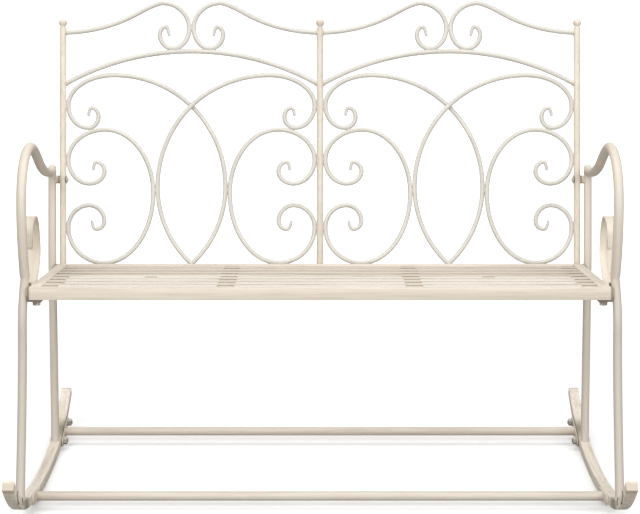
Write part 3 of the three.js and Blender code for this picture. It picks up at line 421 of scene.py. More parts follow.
def bench():
    """The bench's sizes and colours: sides, seat, back, bolts, colours."""
    return [getattr(bpy.context.scene, name) for name in GROUPS]


# The rocker's underside, drawn with the legs upright

def rocker_end(s, side):
    """Where the front (-1) or rear (1) end starts to curl: its reach, angle and radius."""
    reach, radius = ((s.front_blend_reach, s.front_tip_radius) if side < 0
                     else (s.rear_blend_reach, s.rear_tip_radius))
    return reach, math.asin(reach / s.rocker_radius), radius


def rocker_point(s, turn, lift):
    """(y, z) at an angle, negative in front of the low point, lifted square to the bar."""
    side = -1 if turn < 0 else 1
    turn = abs(turn)
    _, blend, tip_radius = rocker_end(s, side)
    middle = min(turn, blend)
    reach = s.rocker_radius * math.sin(middle)
    rise = s.rocker_radius * (1 - math.cos(middle))
    if turn > blend:
        reach += tip_radius * (math.sin(turn) - math.sin(blend))
        rise += tip_radius * (math.cos(blend) - math.cos(turn))
    return s.rocker_low_y + side * (reach - lift * math.sin(turn)), rise + lift * math.cos(turn)


def rocker_angle_at(s, y):
    side = -1 if y < s.rocker_low_y else 1
    reach = abs(y - s.rocker_low_y)
    blend_reach, blend, tip_radius = rocker_end(s, side)
    if reach <= blend_reach:
        return side * math.asin(reach / s.rocker_radius)
    return side * math.asin(math.sin(blend) + (reach - blend_reach) / tip_radius)


def rocker_middle(s, y):
    """(y, z) in the middle of the bar over a place of its underside, and the angle there."""
    turn = rocker_angle_at(s, y)
    return *rocker_point(s, turn, s.rocker_thickness / 2), turn


def tip_angles(s):
    """Angles of the square ends, front and rear."""
    half = s.bench_depth / 2
    return -rocker_angle_at(s, -half), rocker_angle_at(s, half)


def half_flat_angle(s):
    return math.asin(s.rest_flat_length / 2 / s.rocker_radius)


# The frames that the pieces are drawn in

def tilted(radians):
    return Matrix.Rotation(radians, 4, "X")


def frame_place(s):
    """Leans the upright frame back onto the flats of its rockers."""
    front, rear = tip_angles(s)
    lean = tilted(-s.rest_tilt)
    flat, front_tip, rear_tip = [lean @ Vector((0, *rocker_point(s, turn, 0)))
                                 for turn in (s.rest_tilt + half_flat_angle(s), -front, rear)]
    return Matrix.Translation((0, -(front_tip.y + rear_tip.y) / 2, -flat.z)) @ lean


def seat_place(s, seat):
    return frame_place(s) @ Matrix.Translation((0, seat.front_y, seat.front_z)) @ tilted(-seat.slope)


def back_place(s, back):
    """Drawn flat: x across, y up the back, z towards the sitter."""
    foot = Matrix.Translation((0, back.foot_y, back.foot_z))
    return frame_place(s) @ foot @ tilted(math.pi / 2 - back.lean)


def tab_spans(seat):
    """Where the seat tabs start behind the seat's front edge, and how long they are."""
    return (("front", seat.front_tab_setback, seat.front_tab_length),
            ("rear", seat.rear_tab_setback, seat.rear_tab_length))


def back_bolt_point(back):
    return (back.foot_y + back.bolt_height * math.sin(back.lean),
            back.foot_z + back.bolt_height * math.cos(back.lean))


# Pieces

def linked_object(name, data):
    made = bpy.data.objects.new(name, data)
    bpy.context.scene.collection.objects.link(made)
    return made


def plain_mesh(bm, name):
    mesh = bpy.data.meshes.new(name)
    bm.to_mesh(mesh)
    bm.free()
    return mesh


def finish_piece(bm, name, place, finish, *nodes, slot="painted_iron", sharp_degrees=35):
    """Sets a drawn shape in its place as a piece that stands for CAD nodes."""
    bmesh.ops.recalc_face_normals(bm, faces=bm.faces)
    for edge in bm.edges:
        edge.smooth = len(edge.link_faces) != 2 or edge.calc_face_angle(0) < math.radians(sharp_degrees)
    mesh = plain_mesh(bm, name)
    mesh.transform(place)
    mesh.shade_smooth()
    mesh.materials.append(finish_material(finish))
    piece = linked_object(name, mesh)
    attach(piece, BODY)
    if nodes:
        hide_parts(*nodes)
    return piece


def only(kind, geom):
    return [g for g in geom if isinstance(g, kind)]


def bevelled(bm, geom, radius, segments=2, affect="EDGES"):
    bmesh.ops.bevel(bm, geom=geom, offset=radius, offset_type="OFFSET", affect=affect,
                    segments=segments, profile=0.5, material=-1, clamp_overlap=True)


def sharp_edges(bm, degrees=30):
    return [e for e in bm.edges if len(e.link_faces) == 2 and e.calc_face_angle(0) > math.radians(degrees)]


def edges_along_x(bm):
    return [e for e in bm.edges if abs(e.verts[0].co.x - e.verts[1].co.x) > MERGE]


def add_box(bm, low, high):
    """A box between two corners. Returns its vertices."""
    low, high = Vector(low), Vector(high)
    place = Matrix.Translation((low + high) / 2) @ Matrix.Diagonal((*(high - low), 1))
    return bmesh.ops.create_cube(bm, size=1, matrix=place)["verts"]


def spin_round(bm, verts, edges, steps):
    bmesh.ops.spin(bm, geom=verts + edges, cent=(0, 0, 0), axis=(0, 0, 1), dvec=(0, 0, 0),
                   angle=2 * math.pi, steps=steps, use_merge=True, use_duplicate=False)


def add_spun(bm, profile, place=Matrix.Identity(4)):
    """Spins (radius, along) points about +Z, starting and ending on the axis, and places the result."""
    verts = [bm.verts.new((radius, 0, along)) for radius, along in profile]
    edges = [bm.edges.new(pair) for pair in zip(verts, verts[1:])]
    spin_round(bm, verts, edges, ROUND_SIDES)
    grown = grow_region(verts)
    bmesh.ops.remove_doubles(bm, verts=grown, dist=FINE_MERGE)
    bmesh.ops.transform(bm, matrix=place, verts=[v for v in grown if v.is_valid])


def grow_region(verts):
    """Every vertex that edges join to these."""
    seen = set(verts)
    todo = list(verts)
    while todo:
        for edge in todo.pop().link_edges:
            for vert in edge.verts:
                if vert not in seen:
                    seen.add(vert)
                    todo.append(vert)
    return list(seen)


def along_matrix(origin, direction):
    """Places +Z along a direction at a point."""
    turn = Vector(direction).to_track_quat("Z", "Y").to_matrix().to_4x4()
    return Matrix.Translation(origin) @ turn


# Bent bars

def heading_vector(degrees):
    return Vector((math.cos(math.radians(degrees)), math.sin(math.radians(degrees))))


def arc_chain(waypoints):
    """Cubic stretches through (x, y, heading) waypoints, each close to an arc."""
    stretches = []
    for (x0, y0, heading0), (x1, y1, heading1) in zip(waypoints, waypoints[1:]):
        start, end = Vector((x0, y0)), Vector((x1, y1))
        out, into = heading_vector(heading0), heading_vector(heading1)
        turn = math.radians(abs(heading1 - heading0))
        chord = end - start
        reach_out = reach_in = chord.length / 3
        spread = out.cross(into)
        if abs(spread) > MERGE:
            share = 4 / 3 * math.tan(turn / 4) / math.tan(turn / 2)
            reach_out = share * chord.cross(into) / spread
            reach_in = share * out.cross(chord) / spread
        stretches.append((start, start + out * reach_out, end - into * reach_in, end))
    return stretches


def sized(shares, width, height, x0=0, y0=0):
    return [(x0 + across * width, y0 + up * height, heading) for across, up, heading in shares]


class BarLine:
    """Points along a bar in space, with its radius at each. Ends are named s and e."""

    def __init__(self, waypoints, place, diameter, tip=None, taper=0, tips="", rounded="", extra=0):
        dense = []
        for corners in arc_chain(waypoints):
            run = interpolate_bezier(*[Vector(place(c)) for c in corners], CURVE_STEPS)
            dense.extend(run[1:] if dense else run)
        if extra:
            dense.append(dense[-1] + (dense[-1] - dense[-2]).normalized() * extra)
        dense = np.array([tuple(p) for p in dense])
        reach = np.concatenate(([0], np.cumsum(np.linalg.norm(np.diff(dense, axis=0), axis=1))))
        self.length = reach[-1]
        radius = diameter / 2
        tip_radius = (tip or diameter) / 2
        at = list(np.linspace(0, self.length, max(2, round(self.length / STATION_SPACING) + 1)))
        for end in rounded:
            turns = np.linspace(0, math.pi / 2, ROUND_STEPS + 1)
            at = [a for a in at if self.from_end(a, end) > tip_radius]
            at.extend(self.from_end(tip_radius * (1 - np.sin(turns)), end))
        self.at = np.array(sorted(at))
        self.points = np.stack([np.interp(self.at, reach, dense[:, k]) for k in range(3)], axis=1)
        self.radii = np.full(len(self.at), radius)
        for end in tips:
            near = np.clip((taper - self.from_end(self.at, end)) / taper, 0, 1)
            self.radii = np.minimum(self.radii, radius + (tip_radius - radius) * near ** 2)
        for end in rounded:
            depth = np.clip(1 - self.from_end(self.at, end) / tip_radius, 0, 1)
            self.radii = self.radii * np.maximum(np.sqrt(1 - depth ** 2), BLUNT_SHARE)

    def from_end(self, at, end):
        return at if end == "s" else self.length - at

    def tangent(self, i):
        low, high = max(0, i - 1), min(len(self.points) - 1, i + 1)
        return Vector(self.points[high] - self.points[low]).normalized()

    def skin(self):
        """The bar's skin, with a UV map in metres along and around it."""
        curve = bpy.data.curves.new("bar", "CURVE")
        curve.dimensions = "3D"
        curve.twist_mode = "MINIMUM"
        curve.bevel_mode = "ROUND"
        curve.bevel_depth = 1
        curve.bevel_resolution = BAR_RESOLUTION
        curve.use_fill_caps = True
        spline = curve.splines.new("POLY")
        spline.points.add(len(self.points) - 1)
        for point, co, radius in zip(spline.points, self.points, self.radii):
            point.co = (*co, 1)
            point.radius = radius
        bm = evaluated_copy(linked_object("bar", curve))
        bpy.data.curves.remove(curve)
        bmesh.ops.remove_doubles(bm, verts=bm.verts, dist=MERGE)
        layer = bm.loops.layers.uv.verify()
        girth = 2 * math.pi * float(self.radii.max())
        for loop in (loop for face in bm.faces for loop in face.loops):
            u, v = loop[layer].uv
            loop[layer].uv = (u * self.length, v * girth)
        return bm


def evaluated_copy(holder):
    """A bmesh of what an object's curve or modifiers make. The object itself is removed."""
    mesh = bpy.data.meshes.new_from_object(holder.evaluated_get(bpy.context.evaluated_depsgraph_get()))
    bpy.data.objects.remove(holder)
    bm = bmesh.new()
    bm.from_mesh(mesh)
    bpy.data.meshes.remove(mesh)
    return bm


def at_side(x):
    return lambda point: (x, point.x, point.y)


def at_back(point):
    return point.x, point.y, 0


def front_leg_line(s, x):
    foot_y, foot_z, _ = rocker_middle(s, s.front_foot_y)
    top = heading_vector(JUNCTION_HEADING) * s.leg_top_reach
    waypoints = [
        (foot_y, foot_z, FRONT_FOOT_HEADING),
        (foot_y + s.knee_reach, foot_z + s.knee_rise, KNEE_HEADING),
        (s.junction_y, s.junction_z, JUNCTION_HEADING),
        (s.junction_y + top.x, s.junction_z + top.y, JUNCTION_HEADING),
    ]
    return BarLine(waypoints, at_side(x), s.leg_diameter)


def side_strip_line(s, x):
    """The middle of the side scroll's strip, from the skin of the front leg on."""
    waypoints = sized(SIDE_SCROLL_SHARES, s.side_scroll_reach, s.side_scroll_rise, s.junction_y, s.junction_z)
    line = BarLine(waypoints, at_side(x), s.side_strip_thickness)
    leg = front_leg_line(s, x)
    away = np.linalg.norm(line.points[:, None, :] - leg.points[None, :, :], axis=2).min(axis=1)
    inside = int(np.argmin(away))
    first = inside + int(np.argmax(away[inside:] > s.leg_diameter / 2 - s.side_strip_thickness / 2))
    line.points, line.at = line.points[first:], line.at[first:]
    return line


def side_strip(s, x):
    """A flat strip bent along a line, widening from its foot, with a UV map as on a bar."""
    line = side_strip_line(s, x)
    bm = bmesh.new()
    widths = (s.leg_diameter, s.side_strip_width)
    halves = np.interp(line.at - line.at[0], (0, s.side_strip_taper), widths) / 2
    rim = [bm.verts.new(Vector(point) - Vector((half, 0, 0))) for point, half in zip(line.points, halves)]
    edges = [bm.edges.new(pair) for pair in zip(rim, rim[1:])]
    for vert in only(BMVert, bmesh.ops.extrude_edge_only(bm, edges=edges)["geom"]):
        vert.co.x = 2 * x - vert.co.x
    flat = plain_mesh(bm, "strip")
    holder = linked_object("strip", flat)
    thick = holder.modifiers.new("Thickness", "SOLIDIFY")
    thick.thickness = s.side_strip_thickness
    thick.offset = 0
    eased = holder.modifiers.new("Edges", "BEVEL")
    eased.width = s.side_strip_edge
    eased.segments = 2
    eased.limit_method = "ANGLE"
    eased.angle_limit = math.radians(50)
    bm = evaluated_copy(holder)
    bpy.data.meshes.remove(flat)
    layer = bm.loops.layers.uv.verify()
    for loop in (loop for face in bm.faces for loop in face.loops):
        co = np.array(loop.vert.co)
        near = int(np.argmin(np.linalg.norm(line.points[:, 1:] - co[1:], axis=1)))
        loop[layer].uv = (line.at[near], co[0])
    return bm


def rear_leg_line(s, back, x):
    foot_z = rocker_middle(s, s.rear_leg_y)[1]
    bend_z = back.foot_z + (s.rear_leg_y - back.foot_y) / math.tan(back.lean)
    half = s.rear_leg_bend / 2
    sine, cosine = math.sin(back.lean), math.cos(back.lean)
    upright = 90 - math.degrees(back.lean)
    waypoints = [
        (s.rear_leg_y, foot_z, 90),
        (s.rear_leg_y, bend_z - half, 90),
        (s.rear_leg_y + half * sine, bend_z + half * cosine, upright),
        (back.foot_y + s.rear_leg_top_rise * sine, back.foot_z + s.rear_leg_top_rise * cosine, upright),
    ]
    return BarLine(waypoints, at_side(x), s.leg_diameter, rounded="e", extra=s.leg_diameter / 2)


def arm_line(s, back, x):
    lap = s.leg_diameter / 4
    rear_y = back.foot_y + (s.arm_rear_z - back.foot_z) * math.tan(back.lean) - lap
    foot = heading_vector(ARM_FOOT_HEADING) * lap
    waypoints = [
        (rear_y, s.arm_rear_z, 180),
        *sized(ARM_SHARES, rear_y - s.arm_front_y, s.arm_top_z - s.junction_z, s.arm_front_y, s.junction_z),
        (s.junction_y - foot.x, s.junction_z - foot.y, ARM_FOOT_HEADING),
    ]
    return BarLine(waypoints, at_side(x), s.arm_diameter)


def arch_line(back, centre):
    half = back.bay_width / 2
    radius = (half ** 2 + back.arch_rise ** 2) / (2 * back.arch_rise)
    spread = math.degrees(math.asin(half / radius))
    foot = back.arch_peak - back.arch_rise
    waypoints = [(centre - half, foot, spread), (centre, back.arch_peak, 0), (centre + half, foot, -spread)]
    return BarLine(waypoints, at_back, back.arch_diameter)


def scroll_line(back, shares, centre, side, diameter, taper, ends="e"):
    """A bar of a bay with thin, rounded tips. The shares are for the left and mirrored for the right."""
    waypoints = [(centre - side * x, y, heading if side < 0 else 180 - heading)
                 for x, y, heading in sized(shares, back.bay_width, back.height)]
    return BarLine(waypoints, at_back, diameter, back.tip_diameter, taper, tips=ends, rounded=ends)


def crossing_bar_line(back, centre, side, clearance):
    """A crossing bar leaves the back's plane where it passes its twin."""
    line = scroll_line(back, CROSSING_BAR_SHARES, centre, side, back.crossing_diameter, back.curl_taper)
    crossing = np.array((centre, CROSSING_BAR_SHARES[CROSSING_WAYPOINT][1] * back.height))
    away = np.linalg.norm(line.points[:, :2] - crossing, axis=1)
    share = np.clip((away - back.crossing_flat) / (back.crossing_reach - back.crossing_flat), 0, 1)
    near = 1 - share ** 2 * (3 - 2 * share)
    line.points[:, 2] -= side * (back.crossing_diameter + clearance) / 2 * near
    return line


def back_lines(back, clearance):
    """Every bent bar of the back by its CAD node's name."""
    lines = {}
    for bay, bay_side in SIDES.items():
        centre = bay_side * back.bay_width / 2
        lines[f"arch_rail_{bay}"] = arch_line(back, centre)
        for place, side in (("outer", bay_side), ("inner", -bay_side)):
            lines[f"top_scroll_{bay}_{place}"] = scroll_line(
                back, TOP_SCROLL_SHARES, centre, side, back.top_scroll_diameter, back.top_taper)
            lines[f"crossing_bar_{bay}_{place}"] = crossing_bar_line(back, centre, side, clearance)
            lines[f"ring_scroll_{bay}_{place}"] = scroll_line(
                back, RING_SCROLL_SHARES, centre, side, back.ring_diameter, back.curl_taper, "se")
    return lines


# Paint

def rgba(value):
    return (*value, 1)


def feed(tree, socket, source):
    """Links an input to an output, or sets it to a value."""
    if isinstance(source, bpy.types.NodeSocket):
        tree.links.new(source, socket)
    else:
        socket.default_value = source


def add_node(tree, kind, *sources, inputs=None, **settings):
    """A shader node with its settings, its first inputs fed in order and others by name."""
    node = tree.nodes.new(f"ShaderNode{kind}")
    for key, value in settings.items():
        setattr(node, key, value)
    for socket, source in zip(node.inputs, sources):
        feed(tree, socket, source)
    for name, source in (inputs or {}).items():
        feed(tree, node.inputs[name], source)
    return node


def add_noise(tree, vector, scale, detail, roughness):
    values = {"Vector": vector, "Scale": scale, "Detail": detail, "Roughness": roughness}
    return add_node(tree, "TexNoise", inputs=values).outputs["Fac"]


def calculated(tree, operation, *sources, **settings):
    return add_node(tree, "Math", *sources, operation=operation, **settings).outputs[0]


def multiplied(tree, *sources):
    return calculated(tree, "MULTIPLY", *sources)


def ranged(tree, source, low, high):
    """0 at low and 1 at high, smooth between."""
    return add_node(tree, "MapRange", source, low, high, interpolation_type="SMOOTHSTEP").outputs["Result"]


def blended(tree, factor, first, second):
    """One colour laid over another by a factor."""
    return add_node(tree, "Mix", factor, inputs={"A": first, "B": second}, data_type="RGBA").outputs[2]


def brushed_paint_group():
    """Paint with a darker wash dragged along it by a brush, and a few thin spots."""
    name = "Brushed paint"
    if name in bpy.data.node_groups:
        return bpy.data.node_groups[name]
    tree = bpy.data.node_groups.new(name, "ShaderNodeTree")
    for way, kind, labels in (("INPUT", "Vector", ("Vector",)),
                              ("INPUT", "Color", ("Paint", "Wash", "Worn")),
                              ("INPUT", "Float", ("Wash Amount", "Worn Amount")),
                              ("OUTPUT", "Color", ("Color",)),
                              ("OUTPUT", "Float", ("Roughness", "Height"))):
        for label in labels:
            tree.interface.new_socket(label, in_out=way, socket_type=f"NodeSocket{kind}")
    given = tree.nodes.new("NodeGroupInput").outputs
    result = tree.nodes.new("NodeGroupOutput").inputs
    streaks = add_noise(tree, given["Vector"], *STREAKS)
    broad = add_noise(tree, given["Vector"], *BROAD_PATCHES)
    spots = add_noise(tree, given["Vector"], *WORN_SPOTS)
    both = calculated(tree, "ADD", multiplied(tree, ranged(tree, streaks, *STREAK_RANGE), STREAK_AMOUNT),
                      multiplied(tree, ranged(tree, broad, *BROAD_RANGE), BROAD_AMOUNT), use_clamp=True)
    washed = blended(tree, multiplied(tree, both, given["Wash Amount"]), given["Paint"], given["Wash"])
    worn = multiplied(tree, ranged(tree, spots, *WORN_RANGE), given["Worn Amount"])
    rough = add_node(tree, "MapRange", both, inputs=dict(zip(("To Min", "To Max"), PAINT_ROUGHNESS)))
    feed(tree, result["Color"], blended(tree, worn, washed, given["Worn"]))
    feed(tree, result["Roughness"], rough.outputs["Result"])
    feed(tree, result["Height"], streaks)
    return tree


def finish_material(name):
    """The material of a finish, made when it is first used."""
    if name in bpy.data.materials:
        return bpy.data.materials[name]
    material = bpy.data.materials.new(name)
    material.use_nodes = True
    tree = material.node_tree
    shader = tree.nodes["Principled BSDF"].inputs
    if name in PAINTS:
        set_brushed_paint(tree, shader, *PAINTS[name])
    else:
        set_uneven_finish(tree, shader, *UNEVEN_FINISHES[name])
    if name == ROCKER_FINISH:
        set_foot_and_tip_shade(tree, shader)
    return material


def set_brushed_paint(tree, shader, way, paint, wash, wash_amount, worn_amount):
    """Antique white paint, brushed one way. Bars are brushed along their own length."""
    colours = bench()[4]
    place = tree.nodes.new("ShaderNodeTexCoord").outputs["UV" if way == "bars" else "Object"]
    mapping = add_node(tree, "Mapping", place, inputs={"Scale": BRUSH_WAYS[way]})
    values = {"Vector": mapping.outputs["Vector"], "Paint": rgba(getattr(colours, paint)),
              "Wash": rgba(getattr(colours, wash)), "Worn": rgba(colours.worn),
              "Wash Amount": wash_amount, "Worn Amount": worn_amount}
    brushed = add_node(tree, "Group", node_tree=brushed_paint_group(), inputs=values).outputs
    bump = add_node(tree, "Bump", inputs={**PAINT_BUMP, "Height": brushed["Height"]})
    shader["Specular IOR Level"].default_value = PAINT_SPECULAR
    feed(tree, shader["Base Color"], brushed["Color"])
    feed(tree, shader["Roughness"], brushed["Roughness"])
    feed(tree, shader["Normal"], bump.outputs["Normal"])


def set_foot_and_tip_shade(tree, shader):
    """Painted shade pooled round the front feet, and painted shade in the wash colour at the tips, on a
    rocker's paint.
    """
    s, *_, colours = bench()
    place = tree.nodes.new("ShaderNodeTexCoord").outputs["Object"]
    folded = add_node(tree, "VectorMath", place, operation="ABSOLUTE").outputs["Vector"]
    turn = rocker_angle_at(s, s.front_foot_y + POOL_SETBACK)
    foot = frame_place(s) @ Vector((s.spacing / 2 - s.rocker_width / 2,
                                    *rocker_point(s, turn, s.rocker_thickness * POOL_HEIGHT_SHARE)))
    away = add_node(tree, "VectorMath", folded, [abs(v) for v in foot], operation="DISTANCE")
    near = ranged(tree, away.outputs["Value"], POOL_RADIUS, POOL_CORE)
    patches = ranged(tree, add_noise(tree, place, *POOL_PATCHES), *POOL_RANGE)
    # Painted shade round the front foot
    foot_shaded = blended(tree, multiplied(tree, near, patches), shader["Base Color"].links[0].from_socket,
                      rgba(colours.foot_shade))
    along = add_node(tree, "SeparateXYZ", folded).outputs["Y"]
    # Painted shade: the tips take the darker wash colour
    at_tip = ranged(tree, along, *[s.bench_depth / 2 - reach for reach in TIP_SHADE])
    feed(tree, shader["Base Color"], blended(tree, at_tip, foot_shaded, rgba(colours.wash)))


def set_uneven_finish(tree, shader, base, dark, metallic, roughness, scale):
    """An uneven finish for welds and bolts, and for the painted shade of the tabs and seams."""
    colours = bench()[4]
    place = tree.nodes.new("ShaderNodeTexCoord").outputs["Object"]
    mottle = ranged(tree, add_noise(tree, place, scale, *MOTTLE_DETAIL), *MOTTLE_RANGE)
    shader["Metallic"].default_value = metallic
    shader["Roughness"].default_value = roughness
    feed(tree, shader["Base Color"], blended(tree, mottle, rgba(getattr(colours, base)),
                                             rgba(getattr(colours, dark))))


# Operators

class BENCH_OT_rockers(Operator):
    """Rolls the two rockers from square bar"""

    bl_idname = "bench.rockers"
    bl_label = "Rockers"

    def execute(self, context):
        s = bench()[0]
        for name, side in SIDES.items():
            finish_piece(self.rocker_solid(s, side * s.spacing / 2), f"rolled_rocker_{name}", frame_place(s),
                         ROCKER_FINISH, f"rocker_{name}")
        return {"FINISHED"}

    def rocker_solid(self, s, x):
        """The rolled bar: a rounded section carried round three arcs and along the resting flat."""
        bm = bmesh.new()
        front, rear = tip_angles(s)
        tip = Matrix.Translation((x, *rocker_point(s, -front, s.rocker_thickness / 2))) @ tilted(-front)
        section = bmesh.ops.create_grid(bm, x_segments=1, y_segments=1, size=0.5)["verts"]
        shape = Matrix.Diagonal((s.rocker_width, s.rocker_thickness, 1, 1))
        bmesh.ops.transform(bm, matrix=tip @ tilted(math.pi / 2) @ shape, verts=section)
        bevelled(bm, section, s.rocker_edge, CORNER_SEGMENTS, "VERTICES")
        half_flat = half_flat_angle(s)
        middle = Vector((x, s.rocker_low_y, s.rocker_radius))
        front_centre, front_blend = self.tip_centre(s, middle, -1)
        rear_centre, rear_blend = self.tip_centre(s, middle, 1)
        flat_start, flat_end = [Vector((x, *rocker_point(s, s.rest_tilt + turn, 0)))
                                for turn in (-half_flat, half_flat)]
        still = Vector()
        # A spin moves before it turns, so the flat's run turns about the place that it moves to
        runs = [
            (front_centre, still, front - front_blend, TIP_STEPS),
            (middle, still, front_blend + s.rest_tilt - half_flat, FRONT_STEPS),
            (flat_end, flat_end - flat_start, 2 * half_flat, 1),
            (middle, still, rear_blend - s.rest_tilt - half_flat, REAR_STEPS),
            (rear_centre, still, rear - rear_blend, TIP_STEPS),
        ]
        faces = bm.faces[:]
        for i, (centre, move, turn, steps) in enumerate(runs):
            spun = bmesh.ops.spin(bm, geom=faces, cent=centre, axis=(1, 0, 0), dvec=move, angle=turn,
                                  steps=steps, use_duplicate=False)
            if i:
                bmesh.ops.delete(bm, geom=faces, context="FACES_ONLY")
            faces = only(BMFace, spun["geom_last"])
        return bm

    def tip_centre(self, s, middle, side):
        """What an end curls round, and the angle where it starts."""
        _, blend, radius = rocker_end(s, side)
        inwards = Vector((0, side * math.sin(blend), -math.cos(blend)))
        return middle + (s.rocker_radius - radius) * inwards, blend


class BENCH_OT_legs(Operator):
    """Bends the front and rear legs, and sets the seat tabs and back spacers on them"""

    bl_idname = "bench.legs"
    bl_label = "Legs and seat tabs"

    def execute(self, context):
        s, seat, back, bolts, _ = bench()
        for name, side in SIDES.items():
            x = side * s.spacing / 2
            # The front legs' and rear legs' paints are antique white darkened as painted shade
            legs = ((front_leg_line(s, x), "front legs"), (rear_leg_line(s, back, x), "arms"))
            for (line, paint), (end, setback, length) in zip(legs, tab_spans(seat)):
                finish_piece(line.skin(), f"bent_{end}_leg_{name}", frame_place(s), f"Antique white {paint}",
                             f"{end}_leg_{name}", sharp_degrees=50)
                finish_piece(self.seat_tab(seat, bolts, side, setback, length), f"seat_tab_{end}_{name}",
                             seat_place(s, seat), "Seat tabs in painted shade")
            bm = bmesh.new()
            add_nut(bm, back.spacer_flats, 0, s.leg_diameter / 4 + back.spacer_length)
            place = along_matrix((x - side * s.leg_diameter / 4, *back_bolt_point(back)), (-side, 0, 0))
            finish_piece(bm, f"back_spacer_{name}", frame_place(s) @ place, "Painted welds", sharp_degrees=25)
        return {"FINISHED"}

    def seat_tab(self, seat, bolts, side, setback, length):
        """An angle of strip: its upright on the leg, its foot under the seat rail."""
        inner = seat.half_width + bolts.clearance
        outer = inner + seat.tab_thickness
        foot_top = -seat.rail_height - bolts.clearance
        foot_bottom = foot_top - seat.tab_thickness
        foot_inner = seat.half_width - seat.tab_foot_reach
        outline = [(foot_inner, foot_bottom), (outer, foot_bottom), (outer, -seat.tab_top_drop),
                   (inner, -seat.tab_top_drop), (inner, foot_top), (foot_inner, foot_top)]
        bm = bmesh.new()
        face = bm.faces.new([bm.verts.new((side * x, setback, z)) for x, z in outline])
        grown = only(BMVert, bmesh.ops.extrude_face_region(bm, geom=[face])["geom"])
        bmesh.ops.translate(bm, vec=(0, length, 0), verts=grown)
        bmesh.ops.recalc_face_normals(bm, faces=bm.faces)
        corner = [e for e in bm.edges if all(abs(v.co.x - side * outer) < MERGE
                                             and abs(v.co.z - foot_bottom) < MERGE for v in e.verts)]
        bevelled(bm, corner, seat.tab_bend, BEND_SEGMENTS)
        bevelled(bm, sharp_edges(bm, degrees=40), seat.tab_edge)
        return bm


class BENCH_OT_arms(Operator):
    """Bends the arms over from the rear legs to the front legs, and the strips under them"""

    bl_idname = "bench.arms"
    bl_label = "Arms and side scrolls"

    def execute(self, context):
        s, _, back, _, _ = bench()
        for name, side in SIDES.items():
            x = side * s.spacing / 2
            finish_piece(arm_line(s, back, x).skin(), f"bent_arm_{name}", frame_place(s),
                         "Antique white arms", f"arm_{name}", sharp_degrees=50)
            finish_piece(side_strip(s, x), f"bent_side_scroll_{name}", frame_place(s),
                         "Antique white brushed bars", f"side_scroll_{name}", sharp_degrees=25)
        return {"FINISHED"}


class BENCH_OT_cross_bars(Operator):
    """Makes the two round cross bars and the plates on their ends"""

    bl_idname = "bench.cross_bars"
    bl_label = "Cross bars"

    def execute(self, context):
        s, _, _, bolts, _ = bench()
        plate_outer = s.spacing / 2 - s.rocker_width / 2 - bolts.clearance
        radius = s.cross_bar_diameter / 2
        half = plate_outer - s.flange_thickness / 2
        for name, bar_y, paint in (("front", s.front_bar_y, "front bar"),
                                   ("rear", s.rear_bar_y, "brushed across")):
            y, z, turn = rocker_middle(s, bar_y)
            bm = bmesh.new()
            add_spun(bm, [(0, -half), (radius, -half), (radius, half), (0, half)],
                     along_matrix((0, y, z), (1, 0, 0)))
            finish_piece(bm, f"round_bar_{name}", frame_place(s), f"Antique white {paint}",
                         f"cross_bar_{name}")
            for end, side in SIDES.items():
                start = side * plate_outer - (s.flange_thickness if side > 0 else 0)
                place = frame_place(s) @ Matrix.Translation((start, y, z)) @ tilted(turn)
                bm = self.plate(0, s.flange_thickness, s.flange_length / 2, s.flange_height / 2,
                                PLATE_ROUND_SHARE)
                bevelled(bm, sharp_edges(bm, degrees=60), s.flange_thickness / 8)
                finish_piece(bm, f"flange_{name}_{end}", place, "Antique white brushed lengthwise")
                if name == "rear":
                    # A dark seam of painted shade behind each rear plate
                    self.set_seam(s, bolts, place, end, side)
        return {"FINISHED"}

    def plate(self, low, high, half_length, half_height, round_share):
        """A plate between two places across the bench, with round ends."""
        bm = bmesh.new()
        add_box(bm, (low, -half_length, -half_height), (high, half_length, half_height))
        bevelled(bm, edges_along_x(bm), half_height * round_share, PLATE_SEGMENTS)
        return bm

    def set_seam(self, s, bolts, place, end, side):
        """A dark sheet of painted shade in the gap between a plate and its rocker."""
        half_height = s.flange_height / 2
        outer = s.flange_thickness + bolts.clearance / 2 if side > 0 else -bolts.clearance / 2
        low, high = sorted((outer, outer - side * bolts.seam_width))
        bm = self.plate(low, high, s.flange_length / 2 + bolts.seam_reach, half_height, SEAM_ROUND_SHARE)
        taller = Matrix.Diagonal((1, 1, 1 + bolts.seam_reach / half_height, 1))
        bmesh.ops.transform(bm, matrix=taller, verts=bm.verts)
        finish_piece(bm, f"flange_seam_{end}", place, "Painted shade in the seams")


def eased_copy(node, radius):
    """A CAD node's own shape with its sharp edges rounded."""
    bm = bmesh.new()
    bm.from_mesh(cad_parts[node].data)
    bmesh.ops.remove_doubles(bm, verts=bm.verts, dist=MERGE)
    bmesh.ops.dissolve_limit(bm, angle_limit=math.radians(1), verts=bm.verts, edges=bm.edges)
    bevelled(bm, sharp_edges(bm), radius)
    return bm


def finish_own(prefix, node, radius, finish):
    """A piece in a CAD node's own shape and place."""
    return finish_piece(eased_copy(node, radius), f"{prefix}_{node}", Matrix.Identity(4), finish, node)


